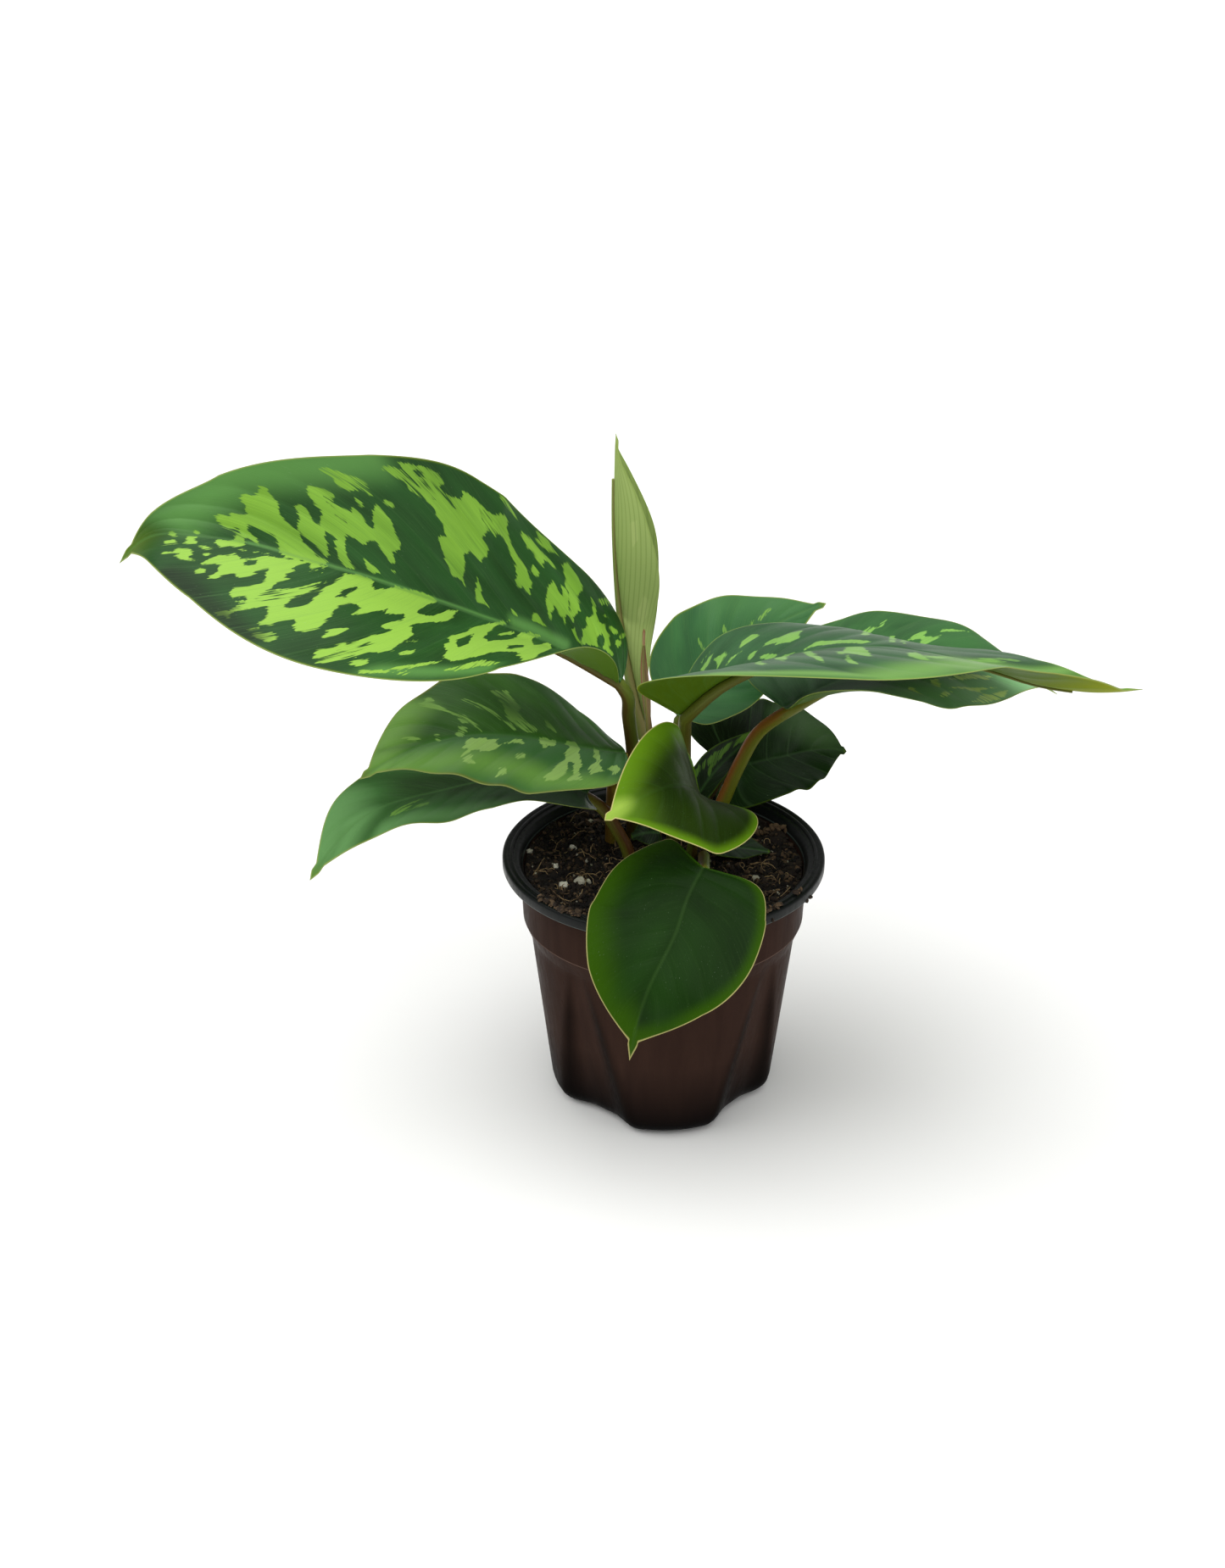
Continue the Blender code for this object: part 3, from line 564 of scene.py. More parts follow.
VEIN_START = 1.5  # a vein that reaches the margin at u leaves the midrib at u ** VEIN_START
VEIN_BEND = 1.3
LOBE_SPAN = 0.35  # the part of the margin, from the base, that the lobes take
MARGIN_THIN = 1.6  # half-width of the drip tip
BLADE_THICK = 0.5
FOLD_ROUND = 3.0  # radius over which a fold turns up beside the midrib
STALK_DEPTH = 20.0  # how far each stalk goes down into the mix
STALK_SIDES = 16
STALK_RINGS = 33
KEEL_RINGS = 26
KEEL_END = 0.85  # how far along the midrib its raised underside runs
KEEL_END_RADIUS = 0.5
STREAK_DEPTH = 0.2  # how far inside a streaky patch counts, so that dark lines still cross it
PATCH_REACH = 6.0  # beyond this far from its edge a patch no longer matters
PATCH_EDGE = 2.3  # the middle of the ragged step that the noise adds to a patch's edge
CELLS_PER_MM = 2.2  # coarser than real leaf cells, so that they show

# What most leaves share, and how strongly the details of their skin show
PLAIN_LEAF = dict(tip=0.03, sweep=(0.12, 0.12), wave=(0, 1, 0), curl=[(0, 0, 0), (0, 0, 0)],
                  blush_side=(90, 0), glow=(0.01, 0.01, 0.05), patches=[], streaks=[], worn=[], holes=[],
                  washes=[], shades=[])
# Of these colours, the stroke colour before shade is partly the leaf's own tint and partly painted sheen, and
# shade is the colour of painted shadows.
GREEN = dict(dark="#24501f", deep="#1a3c14", lime="#8fc04a", lime_deep="#6d9c34", glow="#5f7a14",
             vein="#4f7a3f", margin="#8d9a58", wash="#5a8a48", shade="#0f2408", under="#4d6a1c",
             under_lime="#6f8a2c", stalk="#5c6a24", stalk_blush="#52421c", wash_show=0.55, vein_show=0.12,
             vein_wide=0.5, hair_show=0.25, rib_show=0.35, rim_show=0.8, gloss=0.22)


def curve(points, share):
    """Points and directions at shares (0 to 1) of the length of a smooth curve through the points."""
    points = np.asarray(points, float)
    spans = np.linalg.norm(np.diff(points, axis=0), axis=1)
    knots = np.concatenate([[0], np.cumsum(spans)]) / spans.sum()
    slopes = np.diff(points, axis=0) / np.diff(knots)[:, None]
    tangents = np.concatenate([slopes[:1], slopes])
    for i in range(1, len(points) - 1):
        weight = (knots[i] - knots[i - 1]) / (knots[i + 1] - knots[i - 1])
        tangents[i] = slopes[i - 1] * (1 - weight) + slopes[i] * weight
    if len(points) > 2:
        tangents[0] = slopes[0] * 1.5 - tangents[1] * 0.5
        tangents[-1] = slopes[-1] * 1.5 - tangents[-2] * 0.5
    inside = np.clip(share, 0, 1)
    i = np.clip(np.searchsorted(knots, inside, side="right") - 1, 0, len(points) - 2)
    step = (knots[i + 1] - knots[i])[..., None]
    t = (inside - knots[i])[..., None] / step
    place = (points[i] * (2 * t ** 3 - 3 * t ** 2 + 1) + tangents[i] * step * (t ** 3 - 2 * t ** 2 + t)
             + points[i + 1] * (3 * t ** 2 - 2 * t ** 3) + tangents[i + 1] * step * (t ** 3 - t ** 2))
    along = (points[i] * (6 * t ** 2 - 6 * t) / step + tangents[i] * (3 * t ** 2 - 4 * t + 1)
             + points[i + 1] * (6 * t - 6 * t ** 2) / step + tangents[i + 1] * (3 * t ** 2 - 2 * t))
    along /= np.linalg.norm(along, axis=-1, keepdims=True)
    return place + along * ((share - inside) * spans.sum())[..., None], along


def facing(azimuth, elevation):
    """The direction at an azimuth from the front and an elevation, in degrees."""
    a, e = math.radians(azimuth), math.radians(elevation)
    return np.array([math.sin(a) * math.cos(e), -math.cos(a) * math.cos(e), math.sin(e)])


def between(values, share):
    """A smooth change through three values, given at base, middle and tip."""
    s = np.clip(share, -0.1, 1)
    return values[0] * (1 - s) * (1 - 2 * s) + values[1] * 4 * s * (1 - s) + values[2] * s * (2 * s - 1)


def leaf_length(leaf):
    return float(np.linalg.norm(np.diff(np.asarray(leaf["midrib"], float), axis=0), axis=1).sum())


def half_width(leaf, right, u):
    """Distance from the midrib to the margin: a rounded lens that ends in a short drip tip."""
    widest = np.where(right, leaf["width"][1], leaf["width"][0])
    belly = np.where(right, leaf["belly"][1], leaf["belly"][0])
    body = widest * np.sin(np.pi * np.minimum(u / (1 - leaf["tip"]), 1) ** belly)
    drip = np.minimum(MARGIN_THIN, 0.3 * widest) * np.minimum((1 - u) / leaf["tip"], 1)
    return np.where(u > 0.5, np.maximum(body, drip), body)


def leaf_surface(leaf, u, t, relief=0.0):
    """Points of the blade's middle surface, and the way it faces.

    A place on the blade is u, from 0 at its base to 1 at its tip, and t, from -1 at its left margin to 1 at
    its right.
    """
    length, right, out = leaf_length(leaf), t > 0, abs(t)
    reach = half_width(leaf, right, u)
    lobe = np.where(right, leaf["lobe"][1], leaf["lobe"][0])
    ahead = length * u - lobe * np.sin(np.pi * np.minimum(u / LOBE_SPAN, 1))
    start = length * u ** VEIN_START
    share = (start + (ahead - start) * out ** VEIN_BEND) / length
    centre, along = curve(leaf["midrib"], share)
    up = between([facing(*face) for face in leaf["faces"]], np.clip(share, 0, 1)[..., None])
    up = up - along * (up * along).sum(-1, keepdims=True)
    up /= np.linalg.norm(up, axis=-1, keepdims=True)
    to_right = np.cross(along, up)
    fold, curl = (np.radians(np.where(right, between(leaf[bend][1], share), between(leaf[bend][0], share)))
                  for bend in ("fold", "curl"))
    widest = np.where(right, leaf["width"][1], leaf["width"][0])
    steps = 12
    across, rise = 0.0, 0.0
    for k in range(steps):
        at = reach * out * (k + 0.5) / steps
        angle = fold * np.tanh(at / FOLD_ROUND) + curl * at / widest
        across = across + np.cos(angle) * reach * out / steps
        rise = rise + np.sin(angle) * reach * out / steps
    sign = np.where(right, 1, -1)
    height, number, phase = leaf["wave"]
    wave = height * out ** 2 * np.sin(2 * np.pi * (number * u + phase)) * np.sin(np.pi * u)
    return centre + to_right * (sign * across)[..., None] + up * (rise + sign * wave + relief)[..., None], up


def vein_place(leaf, u, t):
    """Flat place in mm: x counts the side veins, which sweep forwards to the margin, and y runs across."""
    sweep = np.where(t > 0, leaf["sweep"][1], leaf["sweep"][0])
    return leaf_length(leaf) * (u - sweep * abs(t)), t * half_width(leaf, t > 0, u)


def quilting(leaf, u, t):
    """Height of the blade between its side veins, and its groove along the midrib."""
    x, y = vein_place(leaf, u, t)
    from_rib = abs(y)
    swell = abs(np.sin(np.pi * x / leaf["vein_spacing"])) ** 0.7 - 0.6
    fade = np.clip(from_rib / 3, 0, 1) * np.clip((1 - abs(t)) / 0.25, 0, 1) * np.clip((1 - u) / 0.15, 0, 1)
    return leaf["quilt"] * swell * fade - 0.25 * np.exp(-(from_rib / 0.8) ** 2) * np.clip(u / 0.05, 0, 1)


def smooth(share):
    """A share from 0 to 1, eased at both ends."""
    share = np.clip(share, 0, 1)
    return share * share * (3 - 2 * share)


def segment_distance(x, y, start, end):
    """Distance from places to a straight line between two points."""
    run, rise = end[0] - start[0], end[1] - start[1]
    x, y = x - start[0], y - start[1]
    at = np.clip((x * run + y * rise) / max(run * run + rise * rise, 1e-6), 0, 1)
    return np.hypot(x - run * at, y - rise * at)


def outline_distance(outline, x, y):
    """Signed distance to a closed outline, negative inside."""
    distance, inside = np.full(x.shape, 99.0), np.zeros(x.shape, bool)
    for (ax, ay), (bx, by) in zip(outline, np.roll(outline, -1, axis=0)):
        distance = np.minimum(distance, segment_distance(x, y, (ax, ay), (bx, by)))
        inside ^= ((ay > y) != (by > y)) & (x < ax + (y - ay) * (bx - ax) / ((by - ay) or 1.0))
    return np.where(inside, -distance, distance)


def mark_distance(leaf, mark, u, t):
    """Signed distance in millimetres, negative inside, to one mark on the blade.

    A mark is an outline, as a list of (u in thousandths, t in hundredths), or a stroke, as u and t of its two
    ends and half its width in millimetres.
    """
    def flat(a, b):
        return leaf_length(leaf) * a, b * half_width(leaf, b > 0, a)

    x, y = flat(u, t)
    if isinstance(mark, list):
        corners = np.array(mark) / (1000.0, 100.0)
        return outline_distance(np.stack(flat(corners[:, 0], corners[:, 1]), 1), x, y)
    start, end = (flat(np.array(a), np.array(b)) for a, b in (mark[0:2], mark[2:4]))
    return segment_distance(x, y, start, end) - mark[4]


def patch_distance(leaf, u, t):
    """Signed distance to the lime patches, negative inside.

    Streaks, and patches where they are worn, stay shallow, so that dark lines cross them.
    """
    distance = np.full(u.shape, PATCH_REACH)
    for mark in leaf["patches"]:
        distance = np.minimum(distance, mark_distance(leaf, mark, u, t))
    for mark in leaf["streaks"]:
        distance = np.minimum(distance, np.maximum(mark_distance(leaf, mark, u, t), -STREAK_DEPTH))
    for mark in leaf["worn"]:
        shallow = np.maximum(distance, -STREAK_DEPTH)
        distance = np.where(mark_distance(leaf, mark, u, t) < 0, shallow, distance)
    for mark in leaf["holes"]:
        distance = np.maximum(distance, -mark_distance(leaf, mark, u, t))
    return np.maximum(distance, -PATCH_REACH)


def tint_and_painted_light_share(leaf, u, t):
    """How far the colour strokes cover the blade, partly the leaf's own tints and partly painted sheen and
    light, less how far the painted shadows do: strokes that fade to their edge.
    """
    cover = {}
    for kind in ("washes", "shades"):
        cover[kind] = np.zeros(u.shape)
        for mark in leaf[kind]:
            cover[kind] = np.maximum(cover[kind], smooth(-mark_distance(leaf, mark, u, t) / mark[4]))
    return cover["washes"] - cover["shades"]


def glow_share(leaf, u, t):
    """How far the young yellow-green has stayed: along each margin and towards the tip."""
    left, right, tip = leaf["glow"]
    margin = (1 - abs(t)) * half_width(leaf, t > 0, u)
    return smooth(np.maximum(1 - margin / np.where(t > 0, right, left), (u - 1 + tip) / tip))


def stalk_rings(leaf):
    """Centres and radii from the stalk's foot to the end of the midrib's keel, and the blade's facing."""
    x, y = leaf["foot"]
    foot = [(x, y, SOIL_LEVEL - drop) for drop in (STALK_DEPTH, STALK_DEPTH / 2, -1.5)]
    top = leaf["radius"] * 0.85
    base, up = leaf_surface(leaf, np.array([0.0]), np.array([0.0]))
    controls = foot + list(leaf["stalk"]) + [tuple(base[0] - up[0] * (top - 0.1))]
    share = np.linspace(0, 1, STALK_RINGS, endpoint=False)
    path, _ = curve(controls, share)
    radii = leaf["radius"] + (top - leaf["radius"]) * share
    reach = np.linspace(0, KEEL_END, KEEL_RINGS)
    keel = KEEL_END_RADIUS + (top - KEEL_END_RADIUS) * (1 - reach / KEEL_END) ** 2
    rib, up = leaf_surface(leaf, reach ** (1 / VEIN_START), np.zeros(KEEL_RINGS))
    rib = rib - up * (keel + 0.3 * np.clip(reach / 0.06, -0.3, 1))[:, None]
    return np.concatenate([path, rib]), np.concatenate([radii, keel]), up[0]


def stalk_skin(leaf):
    """Points of the stalk, their place round and along it, and how much of the brown blush each has."""
    path, radii, top_side = stalk_rings(leaf)
    ahead = np.gradient(path, axis=0)
    ahead /= np.linalg.norm(ahead, axis=1, keepdims=True)
    across = np.zeros_like(path)

    def carry(side, order):
        """Carries a sideways direction from ring to ring without a twist."""
        for i in order:
            side = side - ahead[i] * (side @ ahead[i])
            side = side / np.linalg.norm(side)
            across[i] = side

    carry(np.cross(ahead[STALK_RINGS], top_side), range(STALK_RINGS, len(path)))
    carry(across[STALK_RINGS], range(STALK_RINGS - 1, -1, -1))
    other = np.cross(ahead, across)
    turn = 2 * np.pi * np.arange(STALK_SIDES) / STALK_SIDES
    outwards = across[:, None] * np.cos(turn)[None, :, None] + other[:, None] * np.sin(turn)[None, :, None]
    points = path[:, None] + outwards * radii[:, None, None]
    gone = np.concatenate([[0], np.cumsum(np.linalg.norm(np.diff(path, axis=0), axis=1))])
    places = np.stack(np.broadcast_arrays(turn[None] * radii[0], gone[:, None]), -1)
    blush = np.clip(0.5 + 0.6 * (outwards @ facing(*leaf["blush_side"])), 0, 1)
    return points.reshape(-1, 3), places.reshape(-1, 2), blush.ravel()


def blade_material(name, leaf, upper):
    # Living leaf: a waxy skin over green tissue. Above, dark green with lime patches whose edges step along
    # fine parallel veins, under a soft gloss; below, matt olive-lime with the patches showing through
    # Painted shadows darken both skins in soft strokes; above, further strokes are partly the leaf's own
    # tints and partly painted sheen, and the two halves can be painted in different greens for the light on
    # each.
    looks = leaf["looks"]
    material, tree, shader = new_material(name, Roughness=0.40 if upper else 0.55, IOR=1.42,
                                          Specular_IOR_Level=0.08)
    place = add_node(tree, "ShaderNodeUVMap", {}, uv_map="vein_map").outputs["UV"]
    reads = {key: add_node(tree, "ShaderNodeAttribute", {}, attribute_name=key).outputs["Fac"]
             for key in ("patch", "glow", "wash", "margin", "from_rib")}
    steps, stripes, threads, mottle = (
        grain(tree, place, (across, along, 1), detail, seed=leaf["seed"])
        for across, along, detail in ((2.4, 6.0, 1.0), (0.8, 5.0, 2.0), (0.3, 9.0, 2.0), (14.0, 20.0, 2.0)))
    cells = grain(tree, place, [1 / CELLS_PER_MM] * 3, 2.0)
    edge = add_up(tree, reads["patch"], [(steps, 1.6), (stripes, 2.0), (threads, 1.0)])
    flat = add_node(tree, "ShaderNodeSeparateXYZ", {"Vector": place})
    off_vein = add_node(tree, "ShaderNodeMath", {0: flat.outputs["X"], 1: leaf["vein_spacing"] / 2},
                        operation="PINGPONG")
    near_vein = {"Value": off_vein.outputs[0], "From Min": looks["vein_wide"], "From Max": 0.0}
    on_vein = add_node(tree, "ShaderNodeMapRange", near_vein, interpolation_type="SMOOTHSTEP")
    # Colour strokes: partly the leaf's own tints, partly painted sheen and painted light.
    tint_and_painted_light_layer = (reads["wash"], 0.0, 1.0, looks["wash_show"], looks["wash"])

    def left_half_painted_light(key):
        """Painted light: a layer that gives the left half of a leaf other colours than its right, for the
        light that falls differently on the two halves.
        """
        return [(flat.outputs["Y"], 2.0, -2.0, 1.0, looks[key])] if key in looks else []

    def in_patches(most, colour):
        return [(edge, PATCH_EDGE + 0.12, PATCH_EDGE - 0.12, most, colour)]

    if upper:
        fine = add_up(tree, mottle, [(threads, 0.7)])
        lime = paint(tree, looks["lime"], [(fine, 0.6, 1.1, 1.0, looks["lime_deep"])] + left_half_painted_light("lime_left"))
        base, glow = looks["dark"], paint(tree, looks["glow"], [tint_and_painted_light_layer])
        layers = [(mottle, 0.3, 0.7, 1.0, looks["deep"])] + left_half_painted_light("dark_left")
        layers += [tint_and_painted_light_layer] + in_patches(1.0, lime)
    else:
        base, glow = looks["under"], looks.get("under_glow", looks["glow"])
        layers = in_patches(0.5, looks["under_lime"])
    # Painted shadows: strokes that darken the blade towards the shade colour.
    layers += [(reads["wash"], 0.0, -1.0, 0.85, looks["shade"]),
               (reads["glow"], 0.0, 1.0, 1.0, glow),
               (on_vein.outputs[0], 0.0, 1.0, looks["vein_show"], looks["vein"]),
               (threads, 0.5, 0.8, looks["hair_show"], looks["vein"]),
               (reads["from_rib"], 0.9, 0.2, looks["rib_show"], looks["vein"]),
               (reads["margin"], 0.34, 0.16, looks["rim_show"], looks["margin"])]
    if upper:
        layers.append((cells, 0.70, 0.80, 0.3, "#9db596"))  # dust
        shine = add_node(tree, "ShaderNodeMapRange", {"Value": reads["glow"], "To Min": looks["gloss"],
                                                      "To Max": looks["gloss"] / 4})
        tree.links.new(shine.outputs[0], shader.inputs["Specular IOR Level"])
    skin = add_up(tree, cells, [(threads, 0.8)])
    bump = add_node(tree, "ShaderNodeBump", {"Height": skin, "Strength": 0.35, "Distance": 0.12 * MM})
    tree.links.new(paint(tree, base, layers), shader.inputs["Base Color"])
    tree.links.new(bump.outputs[0], shader.inputs["Normal"])
    return material


def stalk_material(name, leaf):
    # Leaf stalk: juicy and ridged along its length, green on one side with a red-brown blush on the other
    looks = leaf["looks"]
    material, tree, shader = new_material(name, Roughness=0.4, IOR=1.42, Specular_IOR_Level=0.2)
    place = add_node(tree, "ShaderNodeUVMap", {}, uv_map="vein_map").outputs["UV"]
    blush = add_node(tree, "ShaderNodeAttribute", {}, attribute_name="glow").outputs["Fac"]
    ridges = grain(tree, place, (0.7, 16, 1), 3.0, seed=leaf["seed"])
    streaky = add_up(tree, blush, [(ridges, 0.7)])
    colour = paint(tree, looks["stalk"], [(streaky, 0.55, 1.05, 1.0, looks["stalk_blush"])])
    bump = add_node(tree, "ShaderNodeBump", {"Height": ridges, "Strength": 0.4, "Distance": 0.25 * MM})
    tree.links.new(colour, shader.inputs["Base Color"])
    tree.links.new(bump.outputs[0], shader.inputs["Normal"])
    return material


def blade_faces(rows, columns):
    """Faces of the upper skin, the lower skin and the edge between them, and how many each skin has."""
    count = (rows + 1) * columns
    number = np.arange(count).reshape(rows + 1, columns)
    number[0], number[-1] = number[0, 0], number[-1, 0]  # the base and the tip are one point each
    faces = []
    for i in range(rows):
        for j in range(columns - 1):
            corners = (number[i, j], number[i, j + 1], number[i + 1, j + 1], number[i + 1, j])
            faces.append(tuple(int(c) for c in dict.fromkeys(corners)))
    skin = len(faces)
    faces += [tuple(c + count for c in face[::-1]) for face in faces]
    edge = [int(k) for k in number[::-1, 0]] + [int(k) for k in number[1:, -1]]
    faces += [(b, a, a + count, b + count) for a, b in zip(edge[:-1], edge[1:])]
    return faces, skin


def grow_leaf(node, slot="leaf", **traits):
    """Builds a leaf as one piece in place of its node."""
    leaf = {**PLAIN_LEAF, **traits, "looks": {**GREEN, **traits["looks"]}}
    rows, half_columns = leaf["grid"]
    columns = 2 * half_columns + 1
    spread = np.linspace(0, 1, rows + 1)
    u, t = np.meshgrid(0.7 * spread + 0.3 * smooth(spread), np.linspace(-1, 1, columns), indexing="ij")
    middle, up = leaf_surface(leaf, u, t, quilting(leaf, u, t))
    normal = np.cross(np.gradient(middle, axis=1), np.gradient(middle, axis=0))
    size = np.linalg.norm(normal, axis=-1, keepdims=True)
    normal = np.where(size > 1e-4, normal / np.maximum(size, 1e-9), up)
    normal[0], normal[-1] = up[0], up[-1]
    from_rib = abs(t) * half_width(leaf, t > 0, u)
    margin = half_width(leaf, t > 0, u) - from_rib
    thick = BLADE_THICK * (0.4 + 0.6 * np.clip(margin / 1.5, 0, 1))[..., None]
    skins = [(middle + normal * thick / 2).reshape(-1, 3), (middle - normal * thick / 2).reshape(-1, 3)]
    stalk, stalk_places, blush = stalk_skin(leaf)

    faces, skin_count = blade_faces(rows, columns)
    blade_count = len(faces)
    first, end = 2 * u.size, 2 * u.size + len(stalk) - STALK_SIDES
    faces += [tuple(first + k for k in face) for face in ring_faces(STALK_RINGS + KEEL_RINGS, STALK_SIDES)]
    faces += [tuple(range(first, first + STALK_SIDES))[::-1], tuple(range(end, end + STALK_SIDES))]
    materials = [blade_material(node + " upper skin", leaf, True),
                 blade_material(node + " lower skin", leaf, False), stalk_material(node + " stalk", leaf)]
    piece = add_piece(node + "_veined", np.concatenate(skins + [stalk]), faces, materials, smooth_angle=75.0)
    kinds = np.zeros(len(faces), int)
    kinds[skin_count:2 * skin_count] = 1
    kinds[blade_count:] = 2
    piece.data.polygons.foreach_set("material_index", kinds)

    far, none = np.full(len(stalk), 9.0), np.zeros(len(stalk))
    for name, on_blade, on_stalk in (
            ("patch", patch_distance(leaf, u, t), far), ("glow", glow_share(leaf, u, t), blush),
            ("wash", tint_and_painted_light_share(leaf, u, t), none), ("margin", margin, far), ("from_rib", from_rib, far)):
        set_values(piece, name, np.concatenate([on_blade.ravel(), on_blade.ravel(), on_stalk]))
    places = np.stack(vein_place(leaf, u, t), -1).reshape(-1, 2)
    places = np.concatenate([places, places, stalk_places])
    corner_points = np.zeros(len(piece.data.loops), int)
    piece.data.loops.foreach_get("vertex_index", corner_points)
    vein_map = piece.data.uv_layers.new(name="vein_map")
    vein_map.data.foreach_set("uv", places[corner_points].astype(np.float32).ravel())
    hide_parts(node)
    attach(piece, "root")


